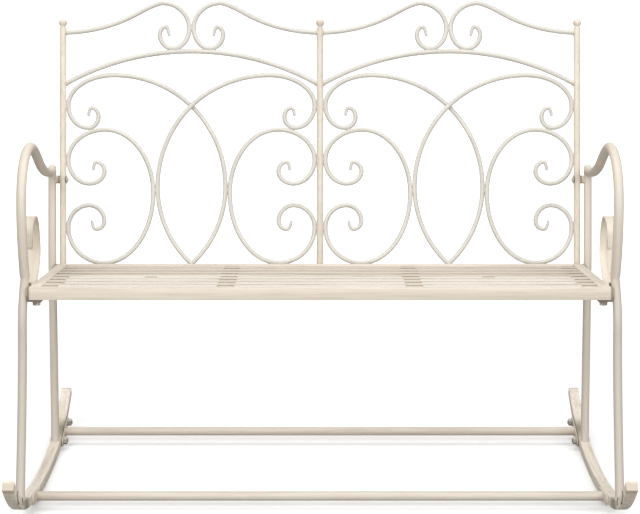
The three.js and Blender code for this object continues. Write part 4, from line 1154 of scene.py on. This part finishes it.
class BENCH_OT_seat(Operator):
    """Rounds the seat rails and supports, and lays the slats"""

    bl_idname = "bench.seat"
    bl_label = "Seat"

    def execute(self, context):
        s, seat, *_ = bench()
        for end in ("front", "rear"):
            finish_own("square", f"seat_rail_{end}", seat.rail_edge, "Antique white brushed across")
        for name in SIDES:
            rail = finish_own("square", f"seat_rail_{name}", seat.support_edge,
                              "Antique white brushed lengthwise")
            self.shade_ledge(s, seat, rail.data)
            finish_own("channel", f"seat_support_{name}", seat.support_edge, "Painted shade under the slats")
        for node in sorted(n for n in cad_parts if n.startswith("seat_slat_")):
            number = int(node.rsplit("_", 1)[1])
            finish_piece(self.slat(s, seat, node, number), f"strip_{node}", Matrix.Identity(4),
                         "Antique white slats" if number < FIRST_SHADED_SLAT else "Antique white rear slats in painted shade",
                         node, slot="painted_slats")
        return {"FINISHED"}

    def shade_ledge(self, s, seat, mesh):
        """The ledge under the slats' ends has the same painted shade as the supports."""
        mesh.materials.append(finish_material("Painted shade under the slats"))
        to_seat = seat_place(s, seat).inverted()
        wall = seat.half_width - seat.rail_width + seat.support_edge
        for polygon in mesh.polygons:
            centre = to_seat @ polygon.center
            if abs(centre.x) < wall and centre.z < -seat.slat_thickness / 2:
                polygon.material_index = 1

    def slat(self, s, seat, node, number):
        """A slat whose front edge is rolled down a little between the ledges and supports."""
        bm = eased_copy(node, seat.slat_edge)
        front = seat.rail_width + seat.slat_gap + (number - 1) * (seat.slat_width + seat.slat_gap)
        overlap = seat.slat_edge / 2
        reach = seat.support_x - seat.support_width / 2
        beyond = seat.support_x + seat.support_width / 2
        ledge = seat.half_width - seat.rail_width - seat.ledge_width
        for low, high in ((-reach, reach), (beyond, ledge), (-ledge, -beyond)):
            corners = add_box(bm, (low + overlap, front + overlap, -seat.slat_thickness - seat.slat_lip),
                              (high - overlap, front + seat.slat_thickness, -overlap * 2))
            bmesh.ops.transform(bm, matrix=seat_place(s, seat), verts=corners)
        return bm


class BENCH_OT_posts(Operator):
    """Turns the three posts with their ball finials, and rounds the bottom rail"""

    bl_idname = "bench.posts"
    bl_label = "Posts and bottom rail"

    def execute(self, context):
        s, _, back, bolts, _ = bench()
        rail_top = -back.ring_diameter / 2 - bolts.clearance
        rail_bottom = rail_top - back.rail_height
        for name, at, bottom, paint in (("left", -1, rail_bottom, "brushed upright"),
                                        ("middle", 0, rail_top, "middle post"),
                                        ("right", 1, rail_bottom, "brushed upright")):
            bm = bmesh.new()
            add_spun(bm, self.post_profile(back, bottom),
                     along_matrix((at * back.bay_width, 0, 0), (0, 1, 0)))
            finish_piece(bm, f"turned_post_{name}", back_place(s, back), f"Antique white {paint}",
                         f"back_post_{name}")
        finish_own("square", "back_bottom_rail", back.rail_edge, "Antique white brushed across")
        return {"FINISHED"}

    def post_profile(self, back, bottom):
        radius, neck, ball = back.post_diameter / 2, back.neck_diameter / 2, back.finial_diameter / 2
        start = math.asin(neck / ball)
        neck_top = back.post_height - ball * math.cos(start)
        shoulder = neck_top - back.neck_height
        edge = back.rail_edge
        turns = [start + (math.pi - start) * i / BALL_STEPS for i in range(1, BALL_STEPS)]
        return [(0, bottom), (radius, bottom), (radius, shoulder - edge),
                (radius - edge / 3, shoulder - edge / 3),
                (neck, neck_top - back.neck_height * NECK_SHARE), (neck, neck_top),
                *[(ball * math.sin(turn), back.post_height - ball * math.cos(turn)) for turn in turns],
                (0, back.post_height + ball)]


class BENCH_OT_scrollwork(Operator):
    """Bends the arches, top scrolls, crossing bars and ring scrolls of the back"""

    bl_idname = "bench.scrollwork"
    bl_label = "Scrollwork"

    def execute(self, context):
        s, _, back, bolts, _ = bench()
        for node, line in back_lines(back, bolts.clearance).items():
            finish_piece(line.skin(), f"bent_{node}", back_place(s, back), "Antique white scrolls", node,
                         sharp_degrees=50)
        return {"FINISHED"}


def add_nut(bm, flats, low, high):
    """A hexagon nut on +Z with its corners turned down."""
    corner = flats / math.sqrt(3)
    middle = (low + high) / 2
    nut = bmesh.ops.create_cone(bm, cap_ends=True, segments=6, radius1=corner, radius2=corner,
                                depth=high - low, matrix=Matrix.Translation((0, 0, middle)))["verts"]
    top = [v for v in nut if v.co.z > middle]
    rims = [e for e in {e for v in top for e in v.link_edges} if all(v in top for v in e.verts)]
    bevelled(bm, rims, (corner - flats / 2) * NUT_CORNER_SHARE)


def add_washer(bm, radius, low, thickness):
    bead = thickness / 4
    high = low + thickness
    add_spun(bm, [(0, low), (radius - bead, low), (radius, low + bead), (radius, high - bead),
                  (radius - bead, high), (0, high)])


def round_head_bolt(shank, head, dome, reach):
    """A round-headed bolt on +Z whose head bears at 0."""
    bm = bmesh.new()
    turns = [math.pi / 2 * i / DOME_STEPS for i in range(DOME_STEPS + 1)]
    crown = [(head / 2 * math.sin(turn), -dome * math.cos(turn)) for turn in turns]
    add_spun(bm, [*crown, (shank / 2, 0), (shank / 2, reach), (0, reach)])
    return bm


def nut_bolt(shank, head, flats, height, grip, bolts):
    """A round-headed bolt with a washer and a nut at its grip, and its thread past the nut."""
    bm = round_head_bolt(shank, head, bolts.dome_height, grip)
    nut = grip + bolts.washer_thickness
    end = nut + height
    add_washer(bm, head / 2, grip, bolts.washer_thickness)
    add_nut(bm, flats, nut, end)
    tail = height * TAIL_SHARE
    thread = [(shank * share, end + tail * (i + along) / THREAD_TURNS)
              for i in range(THREAD_TURNS) for along, share in THREAD_SHARES]
    add_spun(bm, [(0, end), *thread, (shank * THREAD_END_SHARE, end + tail), (0, end + tail)])
    return bm


class BENCH_OT_bolts(Operator):
    """Makes the flange, back, tie and seat bolts, with their nuts and washers"""

    bl_idname = "bench.bolts"
    bl_label = "Bolts"

    def execute(self, context):
        s, seat, back, bolts, _ = bench()
        gap = bolts.clearance
        back_reach = back.post_diameter + back.spacer_length + bolts.light_depth + gap
        for name, side in SIDES.items():
            self.set_flange_bolts(s, bolts, name, side)
            bm = round_head_bolt(bolts.light_shank, bolts.light_head, bolts.light_head_height, back_reach)
            inner = side * (back.bay_width - back.post_diameter / 2 - gap)
            place = frame_place(s) @ along_matrix((inner, *back_bolt_point(back)), (side, 0, 0))
            self.set_bolt(bm, place, f"back_bolt_{name}", "Painted welds")
            self.set_seat_bolts(s, seat, bolts, name, side)
            self.set_tie_bolt(s, seat, bolts, name)
        return {"FINISHED"}

    def set_bolt(self, bm, place, node, finish="Dull bolts"):
        finish_piece(bm, f"round_{node}", place, finish, node, slot="fasteners", sharp_degrees=25)

    def set_flange_bolts(self, s, bolts, name, side):
        """The front plates are threaded. The rear ones have nuts behind."""
        grip = s.rocker_width + s.flange_thickness + 3 * bolts.clearance
        outer = side * (s.spacing / 2 + s.rocker_width / 2 + bolts.clearance)
        for bar, bar_y in (("front", s.front_bar_y), ("rear", s.rear_bar_y)):
            y, z, turn = rocker_middle(s, bar_y)
            for i, half in enumerate((-s.flange_bolt_spacing / 2, s.flange_bolt_spacing / 2), 1):
                if bar == "front":
                    bm = round_head_bolt(bolts.heavy_shank, bolts.heavy_washer, bolts.dome_height,
                                         grip - s.flange_thickness / 2)
                else:
                    bm = nut_bolt(bolts.heavy_shank, bolts.heavy_washer, bolts.heavy_flats,
                                  bolts.heavy_height, grip, bolts)
                at = (outer, y + half * math.cos(turn), z + half * math.sin(turn))
                self.set_bolt(bm, frame_place(s) @ along_matrix(at, (-side, 0, 0)),
                              f"flange_bolt_{bar}_{name}_{i}")

    def set_seat_bolts(self, s, seat, bolts, name, side):
        """Hexagon-headed bolts from below, through a tab's foot."""
        x = side * (seat.half_width - seat.tab_foot_reach / 2)
        bearing = -seat.rail_height - seat.tab_thickness - 2 * bolts.clearance
        shank = bolts.heavy_shank / 2
        head = bolts.washer_thickness
        for end, setback, _ in tab_spans(seat):
            bm = bmesh.new()
            add_washer(bm, bolts.heavy_washer / 2, 0, head)
            add_nut(bm, bolts.heavy_flats, head, head + bolts.heavy_height)
            add_spun(bm, [(0, -bolts.seat_bolt_reach), (shank, -bolts.seat_bolt_reach), (shank, 0), (0, 0)])
            place = Matrix.Translation((x, setback + seat.tab_bolt_setback, bearing)) @ tilted(math.pi)
            self.set_bolt(bm, seat_place(s, seat) @ place, f"seat_bolt_{end}_{name}")

    def set_tie_bolt(self, s, seat, bolts, name):
        """Through the seat's rear rail, its head behind the back's tie."""
        node = f"back_tie_bolt_{name}"
        low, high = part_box(node)
        inward = seat_place(s, seat).inverted()
        start, finish = [inward @ Vector(((low.x + high.x) / 2, y, (low.z + high.z) / 2))
                         for y in (high.y, low.y)]
        nut_and_tail = bolts.tie_height * (1 + TAIL_SHARE)
        grip = start.y - finish.y - bolts.dome_height - bolts.washer_thickness - nut_and_tail
        bm = nut_bolt(bolts.tie_shank, bolts.tie_head, bolts.tie_flats, bolts.tie_height, grip, bolts)
        middle = (start + finish) / 2
        place = along_matrix((middle.x, start.y - bolts.dome_height, middle.z), (0, -1, 0))
        self.set_bolt(bm, seat_place(s, seat) @ place, node, "Painted welds")


def add_collar(bm, place, radius, bead, stretch=1):
    """A ring of weld round a bar that stands on +Z."""
    verts = bmesh.ops.create_circle(bm, segments=COLLAR_SIDES, radius=bead)["verts"]
    upright = Matrix.Translation((radius, 0, 0)) @ tilted(math.pi / 2)
    bmesh.ops.transform(bm, matrix=upright, verts=verts)
    spin_round(bm, verts, list({e for v in verts for e in v.link_edges}), COLLAR_STEPS)
    ring = grow_region(verts)
    roughen(ring, bead, *COLLAR_ROUGHNESS)
    bmesh.ops.transform(bm, matrix=place @ Matrix.Diagonal((1, stretch, 1, 1)), verts=ring)


def add_blob(bm, point, along, sizes):
    """A short weld between two bars that touch, drawn out along them."""
    verts = bmesh.ops.create_icosphere(bm, subdivisions=BLOB_LEVELS, radius=1)["verts"]
    place = along_matrix(point, along)
    bmesh.ops.transform(bm, matrix=place @ Matrix.Diagonal((*sizes, 1)), verts=verts)
    roughen(verts, min(sizes), *BLOB_ROUGHNESS)


def roughen(verts, girth, share, scale):
    """Moves a weld's skin a little, the same way each time."""
    for vert in verts:
        at = vert.co * scale
        vert.co += Vector([noise.noise(at + Vector(shift)) for shift in ROUGHNESS_SHIFTS]) * girth * share


def touching_places(first, second, near, apart):
    """Where two bars touch along their sides: (point, direction) pairs."""
    gap = np.linalg.norm(first.points[:, None, :] - second.points[None, :, :], axis=2)
    gap = gap - first.radii[:, None] - second.radii[None, :]
    found = []
    while gap.min() < near:
        i, j = np.unravel_index(gap.argmin(), gap.shape)
        found.append((Vector((first.points[i] + second.points[j]) / 2), first.tangent(i)))
        gap[np.linalg.norm(first.points - first.points[i], axis=1) < apart, :] = 1
        gap[:, np.linalg.norm(second.points - second.points[j], axis=1) < apart] = 1
    return found


class StraightLine:
    """A straight bar as points, for finding what touches it."""

    def __init__(self, start, end, radius):
        count = round((Vector(end) - Vector(start)).length / STATION_SPACING)
        self.points = np.linspace(start, end, count)
        self.radii = np.full(count, radius)


def shared_out(bead, shares):
    return [bead * share for share in shares]


class BENCH_OT_welds(Operator):
    """Welds the bars where they meet, with painted shade in a few of the corners"""

    bl_idname = "bench.welds"
    bl_label = "Welds"

    def execute(self, context):
        s, seat, back, bolts, _ = bench()
        self.weld_back(s, back, bolts)
        for name, side in SIDES.items():
            self.set_painted_shade(s, back, bolts, name, side)
            self.weld_side(s, back, bolts, name, side)
            self.weld_tabs(s, seat, bolts, name, side)
        return {"FINISHED"}

    def weld_back(self, s, back, bolts):
        bead = bolts.weld_bead
        lines = back_lines(back, bolts.clearance)
        rail_middle = -back.ring_diameter / 2 - bolts.clearance - back.rail_height / 2
        posts = [StraightLine((at * back.bay_width, 0, 0), (at * back.bay_width, back.post_height, 0),
                              back.post_diameter / 2) for at in (-1, 0, 1)]
        rail = StraightLine((-back.bay_width, rail_middle, 0), (back.bay_width, rail_middle, 0),
                            back.rail_height / 2)
        bm = bmesh.new()
        names = list(lines)
        kinds = {name: name.split("_")[0] for name in names}
        for i, first in enumerate(names):
            for second in names[i + 1:]:
                if {kinds[first], kinds[second]} in WELDED_KINDS:
                    self.weld_places(bm, lines[first], lines[second], bead)
            for post in posts:
                weld = self.weld_places if kinds[first] in ("ring", "crossing") else self.weld_end
                weld(bm, lines[first], post, bead)
            if kinds[first] == "ring":
                self.weld_places(bm, lines[first], rail, bead)
        finish_piece(bm, "back_welds", back_place(s, back), "Painted welds")

    def weld_places(self, bm, first, second, bead):
        for point, along in touching_places(first, second, WELD_GAP, WELD_SPACING):
            add_blob(bm, point, along, shared_out(bead, WELD_SHARES))

    def weld_end(self, bm, line, post, bead):
        """A collar where a bar's end runs into a post."""
        away = np.linalg.norm(line.points[:, [0, 2]] - post.points[0][[0, 2]], axis=1)
        if away.min() <= post.radii[0]:
            out, girth = shared_out(bead, END_COLLAR_SHARES)
            i = int(np.argmin(np.abs(away - post.radii[0] - out)))
            add_collar(bm, along_matrix(line.points[i], line.tangent(i)), line.radii[i] + out, girth)

    def set_painted_shade(self, s, back, bolts, name, side):
        """Painted shade: dark lines by the front foot and the side scroll, and dark rings at the back's
        spacer and bolt.
        """
        bead = bolts.weld_bead
        bm = bmesh.new()
        inner = side * (s.spacing / 2 - s.rocker_width / 2)
        # Painted shade lines on the rocker's inner face by the front foot
        for line in FOOT_SHADE_LINES:
            places = [Vector((inner, *rocker_point(s, math.radians(turn), share * s.rocker_thickness)))
                      for turn, share in line]
            for first, second in zip(places, places[1:]):
                along = second - first
                add_blob(bm, (first + second) / 2, along,
                         (bead * LINE_SHARE, bead * LINE_SHARE, along.length * LINE_REACH_SHARE))
        leg_inner = s.spacing / 2 - s.leg_diameter / 2
        foot = (side * leg_inner, s.junction_y + s.strip_shade_reach, s.junction_z - s.strip_shade_drop)
        add_blob(bm, foot, STRIP_SHADE_WAY, shared_out(bead, STRIP_SHADE_SHARES))
        # Painted shade rings at the spacer and the bolt head
        post = leg_inner - back.spacer_length
        girth = bead * SHADE_COLLAR_SHARE
        for at, radius in ((post + girth, back.spacer_flats / 2),
                           (post - back.post_diameter, bolts.light_head / 2)):
            place = along_matrix((side * at, *back_bolt_point(back)), (side, 0, 0))
            add_collar(bm, place, radius, girth)
        finish_piece(bm, f"painted_shade_marks_{name}", frame_place(s), "Painted shade in the seams")

    def weld_side(self, s, back, bolts, name, side):
        """Collars round the legs' feet, the arm's rear end and the cross bar's ends, and the arm's weld."""
        bead = bolts.weld_bead
        x = side * s.spacing / 2
        bm = bmesh.new()
        for foot_y, heading in ((s.front_foot_y, FRONT_FOOT_HEADING), (s.rear_leg_y, 90)):
            y, z, turn = rocker_middle(s, foot_y)
            aslant = math.cos(math.radians(90 - heading) + turn)
            lift = heading_vector(heading) * s.rocker_thickness / 2 / aslant
            place = Matrix.Translation((x, y + lift.x, z + lift.y)) @ tilted(turn)
            add_collar(bm, place, s.leg_diameter / 2 + bead * FOOT_COLLAR_SHARE, bead, 1 / aslant)
        arm = arm_line(s, back, x)
        skin = int(np.argmax(arm.at > s.leg_diameter / 4))
        out, girth = shared_out(bead, ARM_COLLAR_SHARES)
        add_collar(bm, along_matrix(arm.points[skin], arm.tangent(skin)), s.arm_diameter / 2 + out, girth)
        for point, along in touching_places(arm, front_leg_line(s, x), 0, ARM_WELD_SPACING)[:1]:
            add_blob(bm, point, along, shared_out(bead, ARM_WELD_SHARES))
        plate_inner = side * (s.spacing / 2 - s.rocker_width / 2 - bolts.clearance - s.flange_thickness)
        for bar_y in (s.front_bar_y, s.rear_bar_y):
            y, z, _ = rocker_middle(s, bar_y)
            add_collar(bm, along_matrix((plate_inner, y, z), (side, 0, 0)), s.cross_bar_diameter / 2, bead)
        finish_piece(bm, f"side_welds_{name}", frame_place(s), "Painted welds")

    def weld_tabs(self, s, seat, bolts, name, side):
        """Two welds between each seat tab and its leg."""
        bm = bmesh.new()
        leg_face = side * (s.spacing / 2 - s.leg_diameter / 2)
        sizes = (*shared_out(bolts.weld_bead, TAB_WELD_SHARES), seat.rail_height * TAB_WELD_REACH_SHARE)
        for _, setback, length in tab_spans(seat):
            for y in (setback + length / 4, setback + length * 3 / 4):
                add_blob(bm, (leg_face, y, -seat.rail_height / 2), (0, 0, 1), sizes)
        finish_piece(bm, f"tab_welds_{name}", seat_place(s, seat), "Painted welds")


class BENCH_OT_stage(Operator):
    """Sets the floor, the white background, the lamps and the camera"""

    bl_idname = "bench.stage"
    bl_label = "Stage"

    def execute(self, context):
        context.scene.view_settings.view_transform = "Standard"
        self.set_world(context.scene)
        self.set_floor(bench()[4])
        for name, (place, width, power) in LAMPS.items():
            self.add_lamp(name, place, width, power)
        self.set_camera(context.scene)
        return {"FINISHED"}

    def set_camera(self, scene):
        """The camera was found against the bench with its legs upright, so it leans with the frame."""
        camera = bpy.data.cameras.new("Camera")
        camera.lens = CAMERA_LENS
        camera.sensor_width = CAMERA_SENSOR
        camera.sensor_fit = "HORIZONTAL"
        scene.camera = linked_object("Camera", camera)
        upright = Matrix.Translation(CAMERA_PLACE) @ tilted(math.radians(90 - CAMERA_DROP))
        scene.camera.matrix_world = frame_place(bench()[0]) @ upright

    def set_world(self, scene):
        """Soft light from all round, and white where the camera or a reflection looks past the bench."""
        world = bpy.data.worlds.new("Studio")
        world.use_nodes = True
        scene.world = world
        tree = world.node_tree
        soft = tree.nodes["Background"]
        soft.inputs["Color"].default_value = WHITE
        soft.inputs["Strength"].default_value = WORLD_STRENGTH
        white = add_node(tree, "Background", WHITE)
        rays = tree.nodes.new("ShaderNodeLightPath").outputs
        seen = calculated(tree, "MAXIMUM", rays["Is Camera Ray"], rays["Is Glossy Ray"])
        through = calculated(tree, "MAXIMUM", seen, rays["Is Transmission Ray"])
        mix = add_node(tree, "MixShader", through, soft.outputs[0], white.outputs[0])
        feed(tree, tree.nodes["World Output"].inputs["Surface"], mix.outputs[0])

    def set_floor(self, colours):
        """A pale floor with the bench's shadow, white to the camera far off and darker to bounced light."""
        bm = bmesh.new()
        bmesh.ops.create_grid(bm, x_segments=1, y_segments=1, size=FLOOR_SIZE)
        mesh = plain_mesh(bm, "Floor")
        material = bpy.data.materials.new("Studio floor")
        material.use_nodes = True
        tree = material.node_tree
        shader = tree.nodes["Principled BSDF"]
        shader.inputs["Roughness"].default_value = FLOOR_ROUGHNESS
        shader.inputs["Specular IOR Level"].default_value = 0
        seen = tree.nodes.new("ShaderNodeLightPath").outputs["Is Camera Ray"]
        feed(tree, shader.inputs["Base Color"],
             blended(tree, seen, rgba(colours.floor_bounce), rgba(colours.floor)))
        place = tree.nodes.new("ShaderNodeTexCoord").outputs["Object"]
        away = add_node(tree, "VectorMath", place, operation="LENGTH").outputs["Value"]
        lift = calculated(tree, "MULTIPLY_ADD", ranged(tree, away, *FLOOR_FADE), FLOOR_FAR_GLOW, FLOOR_GLOW)
        glow = add_node(tree, "Emission", inputs={"Strength": multiplied(tree, lift, seen)})
        both = add_node(tree, "AddShader", shader.outputs[0], glow.outputs[0])
        feed(tree, tree.nodes["Material Output"].inputs["Surface"], both.outputs[0])
        mesh.materials.append(material)
        linked_object("Floor", mesh)

    def add_lamp(self, name, place, width, power):
        data = bpy.data.lights.new(name, "AREA")
        data.shape = "DISK"
        data.size = width
        data.energy = power
        lamp = linked_object(name, data)
        lamp.location = place
        lamp.rotation_euler = (Vector(LAMP_TARGET) - Vector(place)).to_track_quat("-Z", "Y").to_euler()


class BENCH_PT_panel(Panel):
    """The bench's sizes and the buttons that build it"""

    bl_idname = "BENCH_PT_panel"
    bl_label = "Rocking bench"
    bl_space_type = "VIEW_3D"
    bl_region_type = "UI"
    bl_category = "Bench"

    def draw(self, context):
        for label, group in zip(("Side frames", "Seat", "Back", "Bolts", "Paint"), bench()):
            box = self.layout.box()
            box.label(text=label)
            for key in group.bl_rna.properties.keys():
                if key not in ("rna_type", "name"):
                    box.prop(group, key)
        for operator in OPERATORS:
            self.layout.operator(operator.bl_idname)


OPERATORS = (
    BENCH_OT_rockers, BENCH_OT_legs, BENCH_OT_arms, BENCH_OT_cross_bars, BENCH_OT_seat, BENCH_OT_posts,
    BENCH_OT_scrollwork, BENCH_OT_bolts, BENCH_OT_welds, BENCH_OT_stage,
)
GROUPS = {
    "bench_sides": SideFrameSizes, "bench_seat": SeatSizes, "bench_back": BackSizes,
    "bench_bolts": FastenerSizes, "bench_paint": PaintColours,
}


def register():
    for name, group in GROUPS.items():
        bpy.utils.register_class(group)
        setattr(bpy.types.Scene, name, PointerProperty(type=group))
    for cls in (*OPERATORS, BENCH_PT_panel):
        bpy.utils.register_class(cls)


def unregister():
    for cls in (BENCH_PT_panel, *reversed(OPERATORS)):
        bpy.utils.unregister_class(cls)
    for name, group in reversed(GROUPS.items()):
        delattr(bpy.types.Scene, name)
        bpy.utils.unregister_class(group)


def main():
    register()
    bpy.ops.bench.rockers()
    bpy.ops.bench.legs()
    bpy.ops.bench.arms()
    bpy.ops.bench.cross_bars()
    bpy.ops.bench.seat()
    bpy.ops.bench.posts()
    bpy.ops.bench.scrollwork()
    bpy.ops.bench.bolts()
    bpy.ops.bench.welds()
    bpy.ops.bench.stage()


if __name__ == "__main__":
    main()
